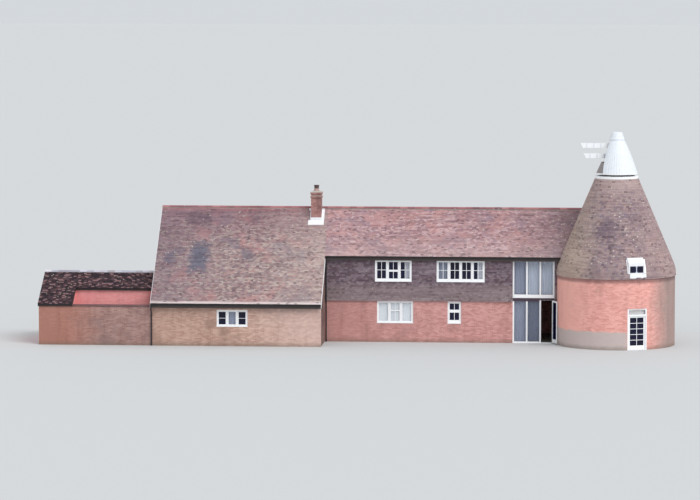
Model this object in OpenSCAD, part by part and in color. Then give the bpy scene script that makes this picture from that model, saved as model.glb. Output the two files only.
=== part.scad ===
// Oast house: a round hop kiln with a turning cowl, set on the corner of its
// two-storey stowage, with a lower barn under one long roof slope and a
// walled yard with an outhouse at the far end.
// Millimetres. Drawn from the kiln's axis (x = 0) and the stowage's front
// wall (y = 0), then moved so that the origin is the middle of the footprint.

/* [Kiln] */
// Outer radius of the round wall
kiln_wall_r = 3370; // [3200:10:3600]
// Thickness of the round wall below the drying floor
kiln_wall_t = 340; // [300:5:380]
// Width of the ledge that carries the drying floor
kiln_ledge = 60; // [40:5:80]
// How far the kiln's axis stands behind the stowage's front wall
kiln_set_back = 150; // [100:10:250]
// Height of the kiln's eaves
kiln_eaves_z = 4010; // [3900:10:4100]
// How far the tiles stand out over the round wall
kiln_eaves_out = 60; // [40:5:80]
// Slope of the kiln's roof
kiln_pitch = 66.95; // [66:0.05:68]
// Radius of the curve that the slope eases out to at its foot
kiln_foot_r = 1930; // [1700:10:2300]
// Height where the kiln's roof stops under the cowl
kiln_roof_top_z = 9530; // [9400:10:9650]
// Thickness of the kiln's roof, measured level
kiln_roof_t = 220; // [180:5:260]
// Bearing of the kiln's door, right of straight ahead
kiln_door_turn = 22; // [18:1:26]
// Bearing of the dormer, right of straight ahead
dormer_turn = 20.5; // [18:0.5:24]

/* [Kiln door] */
// Width of the doorway in the round wall
kiln_door_w = 1180; // [1100:10:1300]
// Height of the doorway
kiln_door_head_z = 2350; // [2250:10:2450]
// Height of the underside of the rail between the leaf and the fanlight
kiln_transom_z = 1930; // [1880:5:1960]
// How far the frame stands back from the wall's face
kiln_door_reveal = 70; // [50:5:90]

/* [Dormer] */
// Overall width of the dormer
dormer_w = 950; // [900:10:1050]
// Height of the dormer's foot
dormer_foot_z = 4330; // [4300:5:4360]
// Height of the glazed opening's sill
dormer_sill_z = 4390; // [4375:5:4410]
// Height of the glazed opening's head
dormer_head_z = 4770; // [4740:5:4800]
// Height of the front edge of the dormer's lead roof
dormer_top_z = 4943; // [4900:5:4960]
// How far the dormer's face stands inside the eaves of the cone
dormer_in = 25; // [0:5:50]
// Thickness of the dormer's cheeks
dormer_cheek_t = 72; // [60:2:90]
// Rise of the dormer's lead roof from its front edge
dormer_rise = 280; // [240:10:320]
// Face width of the dormer's frame
dormer_frame_w = 45; // [40:1:55]

/* [Cowl] */
// Radius of the cowl at its foot
cowl_r = 1180; // [1150:5:1220]
// Radius of the hood where the cap starts
cowl_neck_r = 420; // [400:5:450]
// Height of the hood
cowl_hood_h = 1890; // [1800:10:1950]
// Height of the cap
cowl_cap_h = 430; // [380:10:450]
// How far the hood's side bulges out between foot and cap
cowl_bulge = 45; // [20:5:60]
// Thickness of the hood's boards
cowl_board_t = 25; // [20:1:35]
// Half width of the hood's mouth at its foot
mouth_foot_w = 880; // [820:10:920]
// Half width of the hood's mouth at its top
mouth_top_w = 220; // [180:10:260]
// Height of the lip that closes the foot of the mouth
cowl_lip_h = 600; // [500:10:700]
// Outer radius of the curb ring that the cowl turns above
curb_r = 1230; // [1225:1:1250]
// Width of the curb ring
curb_w = 160; // [130:5:200]
// Height of the curb ring
curb_h = 140; // [120:5:160]
// Gap between the curb ring and the turning cowl
cowl_gap = 110; // [80:5:140]
// Radius of the round post that the cowl turns on
post_r = 55; // [45:1:60]
// Clearance round the post in its bearings
post_clear = 3; // [1:0.5:5]
// Depth of the upper vane board's foot below the cap
vane_upper_drop = 480; // [440:10:520]
// Depth of the lower vane board's foot below the cap
vane_lower_drop = 1070; // [1000:10:1140]
// Reach of the upper vane board from the post
vane_upper_reach = 2070; // [1900:10:2200]
// Reach of the lower vane board from the post
vane_lower_reach = 1890; // [1750:10:2000]
// Height of each vane board
vane_board_h = 277; // [240:1:300]
// Thickness of the vane boards
vane_board_t = 30; // [20:1:40]
// Length of the slant at a vane board's tip
vane_slant = 140; // [100:5:180]
// Depth of the upper sprattle beam's foot below the top of the cone
beam_upper_drop = 330; // [300:10:400]
// Depth of the lower sprattle beam's foot below the top of the cone
beam_lower_drop = 1750; // [1600:10:1900]
// Width of the sprattle beams
beam_w = 150; // [140:5:200]
// Height of the sprattle beams
beam_d = 180; // [150:5:220]

/* [Stowage] */
// Length of the stowage, from the barn to its gable
stowage_len = 16740; // [16000:10:17500]
// Depth of the stowage and barn, front wall to rear wall
stowage_depth = 5200; // [5000:10:5400]
// Height of the tiles' surface over the face of the front wall
eaves_line_z = 5223.5; // [5150:0.5:5300]
// Slope of the main roof
roof_pitch = 41.7; // [40.5:0.1:43]
// Thickness of the roof, square to its slope
roof_t = 200; // [160:5:230]
// How far the eaves stand out from the walls
eaves_out = 250; // [200:10:300]
// How far the roof stands out over a gable
verge_out = 80; // [70:5:120]
// Thickness of the brick walls
brick_wall_t = 330; // [300:5:360]
// Thickness of the framed wall of the upper storey
frame_wall_t = 200; // [180:5:220]
// How far the hung tiles stand out from the brickwork
tile_hang_t = 40; // [30:2:50]
// How much further the hung tiles kick out at their foot
tile_kick = 40; // [20:5:50]
// Height of the foot of the hung tiles
tile_foot_z = 2385; // [2380:5:2420]
// Height of the underside of the upper floor
floor_under_z = 2560; // [2520:10:2580]
// Thickness of the upper floor
floor_t = 240; // [200:5:260]
// Thickness of the ground floor
ground_floor_t = 30; // [25:1:35]

/* [Barn and yard] */
// Length of the barn
barn_len = 9650; // [9300:10:10000]
// How far the barn comes forward of the stowage
barn_forward = 2850; // [2700:10:3000]
// Length of the walled yard and outhouse
yard_len = 6550; // [6200:10:6900]
// Height of the yard wall
yard_wall_h = 2320; // [2200:10:2360]
// Height of the yard wall's coping
coping_h = 110; // [90:5:150]
// How far the yard wall's coping stands out
coping_out = 25; // [15:1:40]
// Thickness of the yard and outhouse walls
yard_wall_t = 225; // [215:5:240]
// Length of the outhouse bay that comes forward to the yard wall
bay_len = 1900; // [1700:10:2100]
// Depth of the open yard behind the yard wall
yard_depth = 1225; // [1100:5:1350]
// Depth of the outhouse behind the yard
outhouse_depth = 3800; // [3600:10:4000]
// Height of the outhouse ridge
outhouse_ridge_z = 3960; // [3900:10:4050]
// Slope of the outhouse roof
outhouse_pitch = 30; // [29:0.5:31]
// Thickness of the outhouse roof, square to its slope
outhouse_roof_t = 130; // [110:5:150]
// How far the outhouse eaves stand out
outhouse_eaves_out = 120; // [90:10:150]
// How far the outhouse ridge stands behind the middle of the bay and the rear wall
outhouse_ridge_back = 85; // [70:5:100]
// How far the eaves over the yard wall stand out
bay_eaves_out = 60; // [40:5:80]
// How far the outhouse roof stands out over its ends
outhouse_verge = 50; // [40:5:80]

/* [Windows] */
// Height of the upper window sills
upper_sill_z = 3500; // [3460:10:3560]
// Height of the upper window heads
upper_head_z = 4750; // [4680:10:4760]
// Height of the lower window sills
lower_sill_z = 1090; // [1000:10:1200]
// Height of the lower window heads
lower_head_z = 2370; // [2300:5:2375]
// Middle of the upper left window, left of the kiln's axis
upper_left_x = 12785; // [12600:5:12900]
// Width of the upper left window
upper_left_w = 2110; // [1950:10:2250]
// Middle of the upper right window, left of the kiln's axis
upper_right_x = 8910; // [8800:5:9000]
// Width of the upper right window
upper_right_w = 2760; // [2600:10:2900]
// Middle of the lower left window, left of the kiln's axis
lower_left_x = 12685; // [12500:5:12900]
// Width of the lower left window
lower_left_w = 2090; // [1950:10:2250]
// Middle of the lower right window, left of the kiln's axis
lower_right_x = 9270; // [9100:5:9400]
// Width of the lower right window
lower_right_w = 780; // [700:10:860]
// Middle of the barn window, left of the stowage's end
barn_window_in = 5070; // [4800:10:5400]
// Width of the barn windows
barn_window_w = 1780; // [1600:10:1900]
// Height of the barn window sills
barn_sill_z = 1110; // [1000:10:1200]
// Height of the barn window heads
barn_head_z = 2080; // [2000:10:2150]
// Middle of the nearer rear barn window, left of the stowage's end
barn_rear_in = 2360; // [2000:10:2700]
// Middle of the far rear barn window, left of the stowage's end
barn_rear_far_in = 7160; // [6800:10:7500]
// How far the window sills stand out before the frames' wall
sill_out = 25; // [15:1:40]
// Face width of the window frames and mullions
window_frame_w = 70; // [60:2:80]
// Depth of the window frames
window_frame_d = 90; // [80:2:110]
// Depth of the mullions in front of the glass
mullion_d = 45; // [35:1:55]
// How far window frames stand back in brickwork
brick_reveal = 40; // [30:2:60]
// Thickness of the glass
glass_t = 8; // [6:1:10]

/* [Glazed screen] */
// Left edge of the screen, left of the kiln's axis
screen_left_x = 5920; // [5850:5:6000]
// Right edge of the screen, left of the kiln's axis
screen_right_x = 3520; // [3505:5:3540]
// Face width of the screen's posts
screen_post_w = 90; // [80:2:100]
// Depth of the screen's posts
screen_post_d = 120; // [100:5:140]
// How far the screen stands back from the brick face
screen_reveal = 20; // [15:1:30]
// Height of the lower doorway's head
screen_head_z = 2480; // [2440:5:2500]
// Height of the thresholds above the ground floor
threshold_rise = 10; // [10:1:20]
// Thickness of the two door leaves
leaf_t = 45; // [40:1:50]
// Width of the door leaves' stiles and rails
leaf_stile_w = 90; // [80:2:110]
// How far the garden door stands open
garden_door_open = 116; // [90:1:116]
// How far the hinge pins stand out from the doors' faces
pin_out = 12; // [11:0.5:14]
// Radius of the hinge pins
pin_r = 5; // [4:0.5:6]
// Clearance round the door leaves
leaf_clear = 8; // [8:0.5:12]

/* [Chimney] */
// Middle of the stack, left of the stowage's end
stack_in = 660; // [600:10:800]
// Width and depth of the stack
stack_w = 600; // [560:10:660]
// Distance of the stack's front face in front of the ridge
stack_forward = 800; // [780:10:860]
// Height of the stack's top above the ridge
stack_rise = 940; // [800:10:1050]
// Height of the pot above the stack
pot_h = 410; // [350:10:450]

/* [Rainwater] */
// Radius of the half-round gutters
gutter_r = 60; // [50:1:70]
// Thickness of the gutters
gutter_t = 6; // [4:1:8]
// Radius of the downpipes
pipe_r = 38; // [34:1:42]

/* [Hidden] */
$fn = 240;
small_fn = 48;
seat = 0.3;
far = 60000;
beyond = 400;

kiln_inner_r = kiln_wall_r - kiln_wall_t;
kiln_upper_r = kiln_inner_r + kiln_ledge;
kiln_eaves_r = kiln_wall_r + kiln_eaves_out;
kiln_lean = 90 - kiln_pitch;
foot_steps = 6;
foot_h = kiln_foot_r * sin(kiln_lean);
foot_in = kiln_foot_r * (1 - cos(kiln_lean));
kiln_roof_top_r = kiln_eaves_r - foot_in
    - (kiln_roof_top_z - kiln_eaves_z - foot_h) * tan(kiln_lean);
// Outline of the kiln's roof from its foot to its top
kiln_slope = concat(
    [for (i = [0 : foot_steps]) let (a = kiln_lean * i / foot_steps)
        [kiln_eaves_r - kiln_foot_r * (1 - cos(a)), kiln_eaves_z + kiln_foot_r * sin(a)]],
    [[kiln_roof_top_r, kiln_roof_top_z]]);

ridge_y = stowage_depth / 2;
ridge_z = eaves_line_z + ridge_y * tan(roof_pitch);
roof_drop = roof_t / cos(roof_pitch);
gable_x = 0;
stowage_x = gable_x - stowage_len;
barn_x = stowage_x - barn_len;
yard_x = barn_x - yard_len;
bay_x = yard_x + bay_len;
barn_front_y = -barn_forward;
eaves_y = -eaves_out;
barn_eaves_y = barn_front_y - eaves_out;
rear_eaves_y = stowage_depth + eaves_out;
barn_verge_out = verge_out / 2;
floor_top_z = floor_under_z + floor_t;
threshold_z = ground_floor_t + threshold_rise;
hung_out = tile_hang_t + tile_kick;
hung_foot_h = 250;
gable_start_y = kiln_set_back;

yard_back_y = barn_front_y + yard_wall_t;
outhouse_front_y = yard_back_y + yard_depth;
outhouse_rear_y = outhouse_front_y + outhouse_depth;
outhouse_ridge_y = (barn_front_y + outhouse_rear_y) / 2 + outhouse_ridge_back;
outhouse_drop = outhouse_roof_t / cos(outhouse_pitch);

curb_top_z = kiln_roof_top_z + curb_h;
cowl_z = curb_top_z + cowl_gap;
cowl_ring_h = 60;
cowl_ring_w = 130;
spoke_w = 90;
hood_z = cowl_z + cowl_ring_h;
cap_z = hood_z + cowl_hood_h;
mouth_h = 0.968 * cowl_hood_h;
upper_beam_z = kiln_roof_top_z - beam_upper_drop;
lower_beam_z = kiln_roof_top_z - beam_lower_drop;
hood_steps = 8;
cap_drip = 25;
cap_edge_h = 45;
lip_in = 20;
lip_lean = 290;
lip_clear = 2;
cup_h = 60;
cup_wall = 22;
post_bore_r = post_r + post_clear;
post_foot_z = lower_beam_z + beam_d + cup_h / 2 + seat;

dormer_back_in = 125;
dormer_back_r = kiln_slope_r(dormer_top_z + dormer_rise) - dormer_back_in;
dormer_half_w = dormer_w / 2 - dormer_cheek_t;
dormer_face_r = kiln_eaves_r - dormer_in;
dormer_frame_in = 10;
dormer_glass_in = 40;
dormer_frame_d = 60;

kiln_frame_w = 80;
kiln_frame_d = 110;
kiln_frame_y = -kiln_wall_r + kiln_door_reveal;
kiln_leaf_w = kiln_door_w - 2 * kiln_frame_w - 2 * leaf_clear;
kiln_leaf_h = kiln_transom_z - threshold_z - 2 * leaf_clear;
kiln_bottom_rail = 200;

screen_bay_w = (screen_left_x - screen_right_x - screen_post_w) / 3;
screen_light_w = screen_bay_w - screen_post_w;
screen_back_y = screen_reveal + screen_post_d;
screen_sill_h = 90;
garden_leaf_w = screen_light_w - 2 * leaf_clear;
garden_leaf_h = screen_head_z - threshold_z - 2 * leaf_clear;
garden_bottom_rail = 220;

knuckle_r = pin_out - 3;
knuckle_h = 60;
lug_h = 30;
flap_l = 55;
flap_t = 5;

stack_x = stowage_x - stack_in;
stack_front_y = ridge_y - stack_forward;
stack_top_z = ridge_z + stack_rise;
stack_course_h = 110;
stack_course_out = 35;
pot_r = 150;
pot_foot_r = 165;
pot_t = 40;

ridge_tile_r = 130;
ridge_tile_drop = 45;
gutter_low = 45;
neck_h = roof_drop - gutter_low - gutter_r + 2 * pipe_r;
pipe_joint = 6;
pipe_in = 150;

left_end = yard_x - outhouse_verge;
front_end = min(barn_eaves_y - 2 * gutter_r - seat, kiln_set_back - kiln_eaves_r);
rear_end = rear_eaves_y + 2 * gutter_r + seat;
frame_x = -(left_end + kiln_eaves_r) / 2;
frame_y = -(front_end + rear_end) / 2;

// Cross-section of the framed and tile-hung upper storey at the front
upper_wall_outline = [
    [-hung_out, tile_foot_z], [0, tile_foot_z], [0, floor_under_z],
    [frame_wall_t, floor_under_z], [frame_wall_t, wall_top_z(frame_wall_t)],
    [-tile_hang_t, wall_top_z(-tile_hang_t)], [-tile_hang_t, tile_foot_z + hung_foot_h]];

// Window rows: middle, width, sill, head and number of lights
upper_windows = [
    [-upper_left_x, upper_left_w, upper_sill_z, upper_head_z, 3],
    [-upper_right_x, upper_right_w, upper_sill_z, upper_head_z, 4]];
lower_windows = [
    [-lower_left_x, lower_left_w, lower_sill_z, lower_head_z, 3],
    [-lower_right_x, lower_right_w, lower_sill_z, lower_head_z, 1]];
barn_window = [stowage_x - barn_window_in, barn_window_w, barn_sill_z, barn_head_z, 3];
barn_rear_windows = [for (inward = [barn_rear_in, barn_rear_far_in])
    [stowage_x - inward, barn_window_w, barn_sill_z, barn_head_z, 3]];

brick = [0.76, 0.54, 0.50];
kiln_brick = [0.86, 0.62, 0.58];
barn_brick = [0.74, 0.62, 0.55];
roof_tile = [0.66, 0.56, 0.56];
kiln_tile = [0.58, 0.54, 0.52];
hung_tile = [0.46, 0.41, 0.43];
white_paint = [0.93, 0.94, 0.96];
lead = [0.80, 0.81, 0.84];
glass = [0.35, 0.42, 0.50, 0.5];
black_paint = [0.10, 0.10, 0.11];
timber = [0.52, 0.42, 0.32];
concrete = [0.62, 0.60, 0.57];

// Height of the main roof's tiles and of its underside above a point in y
function roof_z(y) = ridge_z - abs(y - ridge_y) * tan(roof_pitch);
function under_z(y) = roof_z(y) - roof_drop;
function wall_top_z(y) = under_z(y) - seat;
function outhouse_z(y) = outhouse_ridge_z - abs(y - outhouse_ridge_y) * tan(outhouse_pitch);
function outhouse_under_z(y) = outhouse_z(y) - outhouse_drop;
function outhouse_wall_z(y) = outhouse_under_z(y) - seat;
// Radius of the kiln's roof at a height on its straight slope
function kiln_slope_r(z) = kiln_roof_top_r + (kiln_roof_top_z - z) * tan(kiln_lean);
// Heights of a leaf's hinges
function hinge_heights(h) = [0.1 * h, 0.47 * h, 0.84 * h];
// Half width of the mouth at a height above the hood's foot
function mouth_side(z) = mouth_foot_w + (mouth_top_w - mouth_foot_w) * z / mouth_h;
// Radius of the hood's side at a share of its height
function hood_r(t) = cowl_r + (cowl_neck_r - cowl_r) * t + 4 * cowl_bulge * t * (1 - t);

module in_frame() {
    translate([frame_x, frame_y, 0]) children();
}

// Puts a piece drawn at the kiln's front round to the bearing of its door
module at_kiln_door() {
    translate([0, kiln_set_back, 0]) rotate([0, 0, kiln_door_turn]) children();
}

module at_dormer() {
    translate([0, kiln_set_back, 0]) rotate([0, 0, dormer_turn]) children();
}

module at_kiln() {
    translate([0, kiln_set_back, 0]) children();
}

// A level run of one cross-section, drawn in y and z, from x0 to x1
module run(points, x0, x1) {
    translate([x0, 0, 0]) rotate([90, 0, 90]) linear_extrude(x1 - x0) polygon(points);
}

module block(x0, x1, y0, y1, z0, z1) {
    translate([x0, y0, z0]) cube([x1 - x0, y1 - y0, z1 - z0]);
}

// The solid space that the kiln takes up, wall and roof
module kiln_space(gap) {
    at_kiln() rotate_extrude() polygon(concat(
        [[0, -beyond], [kiln_wall_r + gap, -beyond], [kiln_wall_r + gap, kiln_eaves_z - gap]],
        [for (i = [0 : foot_steps + 1])
            [kiln_slope[i][0] + gap, kiln_slope[i][1] - (i == 0 ? gap : 0)]],
        [[0, kiln_roof_top_z]]));
}

module window_holes(windows, y0, y1) {
    for (w = windows)
        block(w[0] - w[1] / 2, w[0] + w[1] / 2, y0, y1, w[2], w[3]);
}

// One window with its front face at y = 0 and its sill standing out before it
module window_frame(w) {
    light_w = (w[1] - (w[4] + 1) * window_frame_w) / w[4];
    translate([w[0] - w[1] / 2, 0, w[2]]) difference() {
        union() {
            cube([w[1], window_frame_d, w[3] - w[2]]);
            translate([0, -brick_reveal - sill_out, 0])
                cube([w[1], brick_reveal + sill_out + mullion_d, window_frame_w * 0.8]);
        }
        translate([window_frame_w, mullion_d, window_frame_w])
            cube([w[1] - 2 * window_frame_w, window_frame_d, w[3] - w[2] - 2 * window_frame_w]);
        for (i = [0 : w[4] - 1])
            translate([window_frame_w + i * (light_w + window_frame_w), -beyond, window_frame_w])
                cube([light_w, 2 * beyond, w[3] - w[2] - 2 * window_frame_w]);
    }
}

// The sheet of glass behind one window's mullions
module window_glass(w) {
    translate([w[0] - w[1] / 2 + window_frame_w, mullion_d, w[2] + window_frame_w])
        cube([w[1] - 2 * window_frame_w, glass_t, w[3] - w[2] - 2 * window_frame_w]);
}

// Turns a piece of the front wall round to the rear wall, at the same x
module to_rear() {
    translate([0, stowage_depth, 0]) mirror([0, 1, 0]) children();
}

module kiln_ring() {
    difference() {
        cylinder(r = kiln_wall_r, h = kiln_eaves_z - seat);
        translate([0, 0, -beyond]) cylinder(r = kiln_inner_r, h = kiln_eaves_z);
        translate([0, 0, floor_under_z - seat]) cylinder(r = kiln_upper_r, h = kiln_eaves_z);
    }
}

// The upright space of the kiln's doorway, through the front of the ring
module kiln_doorway(z0, z1) {
    block(-kiln_door_w / 2, kiln_door_w / 2, -kiln_wall_r - beyond, 0, z0, z1);
}

// A quarter of the round wall; the first quarter starts at the door
module kiln_quarter(n) {
    color(kiln_brick) in_frame() at_kiln_door() intersection() {
        difference() {
            kiln_ring();
            kiln_doorway(-beyond, far);
        }
        rotate([0, 0, 90 * n - 90]) cube([2 * kiln_wall_r, 2 * kiln_wall_r, far]);
    }
}

module kiln_wall_right() { kiln_quarter(0); }
module kiln_wall_rear() { kiln_quarter(1); }
module kiln_wall_left() { kiln_quarter(2); }
module kiln_wall_front() { kiln_quarter(3); }

module kiln_wall_over_door() {
    color(kiln_brick) in_frame() at_kiln_door() intersection() {
        kiln_ring();
        kiln_doorway(kiln_door_head_z, far);
    }
}

// The dormer's outline, cheeks and roof in one, from its face in to the room
module dormer_block(gap) {
    roof_top_z = dormer_top_z + dormer_rise;
    run([[-dormer_face_r - gap, dormer_foot_z - gap],
         [-dormer_back_r + gap, dormer_foot_z - gap],
         [-dormer_back_r + gap, roof_top_z + gap],
         [-kiln_slope_r(roof_top_z), roof_top_z + gap],
         [-dormer_face_r - gap, dormer_top_z + gap]],
        -dormer_w / 2 - gap, dormer_w / 2 + gap);
}

module dormer_surround() {
    color(lead) in_frame() at_dormer() difference() {
        dormer_block(0);
        block(-dormer_half_w, dormer_half_w, -dormer_face_r - beyond, 0,
            dormer_sill_z, dormer_head_z);
    }
}

module dormer_frame() {
    light_w = dormer_half_w - 1.5 * dormer_frame_w;
    front_y = -dormer_face_r + dormer_frame_in;
    color(white_paint) in_frame() at_dormer() difference() {
        block(-dormer_half_w, dormer_half_w, front_y, front_y + dormer_frame_d,
            dormer_sill_z, dormer_head_z);
        for (side = [-1, 1])
            translate([side * (light_w + dormer_frame_w) / 2, front_y, 0])
                block(-light_w / 2, light_w / 2, -beyond, beyond,
                    dormer_sill_z + dormer_frame_w, dormer_head_z - dormer_frame_w);
        block(-dormer_half_w + dormer_frame_w, dormer_half_w - dormer_frame_w,
            -dormer_face_r + dormer_glass_in, -dormer_face_r + beyond,
            dormer_sill_z + dormer_frame_w, dormer_head_z - dormer_frame_w);
    }
}

module dormer_glass() {
    half_w = dormer_half_w - dormer_frame_w;
    glass_y = -dormer_face_r + dormer_glass_in;
    at_dormer() block(-half_w, half_w, glass_y, glass_y + glass_t,
        dormer_sill_z + dormer_frame_w, dormer_head_z - dormer_frame_w);
}

module kiln_roof() {
    inner = [for (i = [foot_steps + 1 : -1 : 0]) [kiln_slope[i][0] - kiln_roof_t, kiln_slope[i][1]]];
    color(kiln_tile) in_frame() difference() {
        at_kiln() rotate_extrude() polygon(concat(kiln_slope, inner));
        at_dormer() dormer_block(seat);
    }
}

module curb_ring() {
    color(white_paint) in_frame() at_kiln() translate([0, 0, kiln_roof_top_z]) difference() {
        cylinder(r = curb_r, h = curb_h);
        translate([0, 0, -beyond]) cylinder(r = curb_r - curb_w, h = 2 * beyond);
    }
}

// Two beams across the cone: the upper one steadies the post, the lower one carries it
module sprattle_beams() {
    color(timber) in_frame() at_kiln() difference() {
        intersection() {
            union() {
                for (z = [upper_beam_z, lower_beam_z])
                    block(-beam_w / 2, beam_w / 2, -far / 4, far / 4, z, z + beam_d);
                translate([0, 0, lower_beam_z + beam_d])
                    cylinder(r = post_bore_r + cup_wall, h = cup_h);
            }
            rotate_extrude() polygon([
                [0, kiln_eaves_z], [kiln_slope_r(kiln_eaves_z) - kiln_roof_t - seat, kiln_eaves_z],
                [kiln_roof_top_r - kiln_roof_t - seat, kiln_roof_top_z], [0, kiln_roof_top_z]]);
        }
        translate([0, 0, upper_beam_z - beyond / 2]) cylinder(r = post_bore_r, h = 2 * beyond);
        translate([0, 0, post_foot_z - seat]) cylinder(r = post_bore_r, h = cup_h);
    }
}

module kiln_door_frame() {
    inner_w = kiln_door_w / 2 - kiln_frame_w;
    color(white_paint) in_frame() at_kiln_door() difference() {
        block(-kiln_door_w / 2, kiln_door_w / 2, kiln_frame_y, kiln_frame_y + kiln_frame_d,
            0, kiln_door_head_z);
        block(-inner_w, inner_w, kiln_frame_y - beyond, kiln_frame_y + beyond,
            threshold_z, kiln_transom_z);
        block(-inner_w, inner_w, kiln_frame_y - beyond, kiln_frame_y + beyond,
            kiln_transom_z + kiln_frame_w, kiln_door_head_z - kiln_frame_w);
    }
}

module kiln_fanlight() {
    inner_w = kiln_door_w / 2 - kiln_frame_w;
    glass_y = kiln_frame_y + (kiln_frame_d - glass_t) / 2;
    at_kiln_door() block(-inner_w, inner_w, glass_y, glass_y + glass_t,
        kiln_transom_z + kiln_frame_w, kiln_door_head_z - kiln_frame_w);
}

// A door leaf drawn from its hinge pin: the pin stands at the origin, the leaf
// lies towards -x with its near face at y = pin_out, and its foot is at z = 0
module leaf(w, h, bottom_rail) {
    $fn = small_fn;
    color(white_paint) union() {
        translate([-leaf_clear - w, pin_out, 0]) difference() {
            cube([w, leaf_t, h]);
            translate([leaf_stile_w, -beyond, bottom_rail])
                cube([w - 2 * leaf_stile_w, 2 * beyond, h - bottom_rail - leaf_stile_w]);
        }
        for (z = hinge_heights(h)) translate([0, 0, z]) difference() {
            union() {
                cylinder(r = knuckle_r, h = knuckle_h);
                translate([-flap_l, pin_out - flap_t, 0]) cube([flap_l, flap_t, knuckle_h]);
            }
            translate([0, 0, -beyond]) cylinder(r = pin_r + seat, h = 2 * beyond);
        }
    }
}

module leaf_glass(w, h, bottom_rail) {
    glass_y = pin_out + (leaf_t - glass_t) / 2;
    color(glass) translate([-leaf_clear - w + leaf_stile_w, glass_y, bottom_rail])
        cube([w - 2 * leaf_stile_w, glass_t, h - bottom_rail - leaf_stile_w]);
}

// The fixed half of a leaf's hinges: a pin held above and below each knuckle
module hinge_pins_for(h) {
    $fn = small_fn;
    color(black_paint) for (z = hinge_heights(h)) translate([0, 0, z]) {
        translate([0, 0, -seat]) cylinder(r = pin_r, h = knuckle_h + 2 * seat);
        for (lug_z = [-lug_h - seat, knuckle_h + seat]) translate([0, 0, lug_z]) {
            cylinder(r = knuckle_r, h = lug_h);
            translate([0, pin_out - flap_t, 0]) cube([flap_l, flap_t, lug_h]);
        }
    }
}

// The kiln door opens inward, so its pin stands behind it
module at_kiln_pin() {
    at_kiln_door() translate([-kiln_door_w / 2 + kiln_frame_w, kiln_frame_y + kiln_frame_d + pin_out,
        threshold_z + leaf_clear]) rotate([0, 0, 180]) children();
}

module kiln_door_leaf() {
    in_frame() at_kiln_pin() leaf(kiln_leaf_w, kiln_leaf_h, kiln_bottom_rail);
}

module kiln_door_glass() {
    in_frame() at_kiln_pin() leaf_glass(kiln_leaf_w, kiln_leaf_h, kiln_bottom_rail);
}

module hinge_pins() {
    in_frame() {
        at_kiln_pin() hinge_pins_for(kiln_leaf_h);
        at_garden_pin() hinge_pins_for(garden_leaf_h);
    }
}

// The post, and the spoked ring that carries the hood
module cowl_frame() {
    spoke_l = cowl_r - cowl_ring_w / 2;
    color(white_paint) in_frame() at_kiln() union() {
        translate([0, 0, post_foot_z])
            cylinder(r = post_r, h = cowl_z + cowl_ring_h / 2 - post_foot_z);
        block(-post_r, post_r, -post_r, post_r, cowl_z, cap_z);
        difference() {
            translate([0, 0, cowl_z]) cylinder(r = cowl_r, h = cowl_ring_h);
            translate([0, 0, cowl_z - beyond]) cylinder(r = cowl_r - cowl_ring_w, h = 2 * beyond);
        }
        block(-spoke_l, spoke_l, -spoke_w / 2, spoke_w / 2, cowl_z, cowl_z + cowl_ring_h);
        block(-spoke_w / 2, spoke_w / 2, -spoke_l, spoke_l, cowl_z, cowl_z + cowl_ring_h);
    }
}

// The hood's lee side from its foot to a height, narrower by a gap on each side
module lee_side(foot_z, top_z, gap) {
    foot_w = mouth_foot_w - gap;
    top_w = mouth_side(top_z) - gap;
    translate([0, 0, hood_z]) rotate([90, 0, -90]) linear_extrude(2 * cowl_r) polygon([
        [-foot_w, foot_z], [foot_w, foot_z], [foot_w, 0],
        [top_w, top_z], [-top_w, top_z], [-foot_w, 0]]);
}

module cowl_hood() {
    side = [for (i = [0 : hood_steps]) let (t = i / hood_steps) [hood_r(t), t * cowl_hood_h]];
    inside = [for (i = [hood_steps : -1 : 0]) [side[i][0] - cowl_board_t, side[i][1]]];
    color(white_paint) in_frame() at_kiln() difference() {
        translate([0, 0, hood_z]) rotate_extrude() polygon(concat(side, inside));
        lee_side(-beyond, mouth_h, 0);
    }
}

// The leaning board that closes the foot of the mouth
module cowl_lip() {
    lip_foot_r = cowl_r - lip_in;
    lip_top_r = cowl_r - lip_lean;
    color(white_paint) in_frame() at_kiln() intersection() {
        translate([0, 0, hood_z]) rotate_extrude() polygon([
            [lip_foot_r - cowl_board_t, 0], [lip_foot_r, 0],
            [lip_top_r, cowl_lip_h], [lip_top_r - cowl_board_t, cowl_lip_h]]);
        lee_side(-seat, cowl_lip_h, lip_clear);
    }
}

module vane_board(reach, drop) {
    translate([0, vane_board_t / 2, cap_z - drop]) rotate([90, 0, 0])
        linear_extrude(vane_board_t) polygon([
            [-post_r, 0], [-reach + vane_slant, 0], [-reach, vane_board_h],
            [-post_r, vane_board_h]]);
}

module cowl_vane() {
    color(white_paint) in_frame() at_kiln() union() {
        vane_board(vane_upper_reach, vane_upper_drop);
        vane_board(vane_lower_reach, vane_lower_drop);
    }
}

module cowl_cap() {
    color(white_paint) in_frame() at_kiln() translate([0, 0, cap_z]) rotate_extrude() polygon([
        [0, 0], [cowl_neck_r + cap_drip, 0], [cowl_neck_r + cap_drip, cap_edge_h],
        [cowl_neck_r + cap_drip / 5, 1.3 * cap_edge_h],
        [cowl_neck_r * 0.74, cowl_cap_h * 0.87], [cowl_neck_r * 0.68, cowl_cap_h * 0.97],
        [cowl_neck_r * 0.55, cowl_cap_h], [0, cowl_cap_h]]);
}

module front_wall() {
    color(brick) in_frame() difference() {
        union() {
            block(stowage_x, -screen_left_x, 0, brick_wall_t, 0, floor_under_z);
            block(-screen_right_x, 0, 0, brick_wall_t, 0, floor_under_z);
        }
        window_holes(lower_windows, -beyond, 2 * beyond);
        kiln_space(seat);
    }
}

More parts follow.
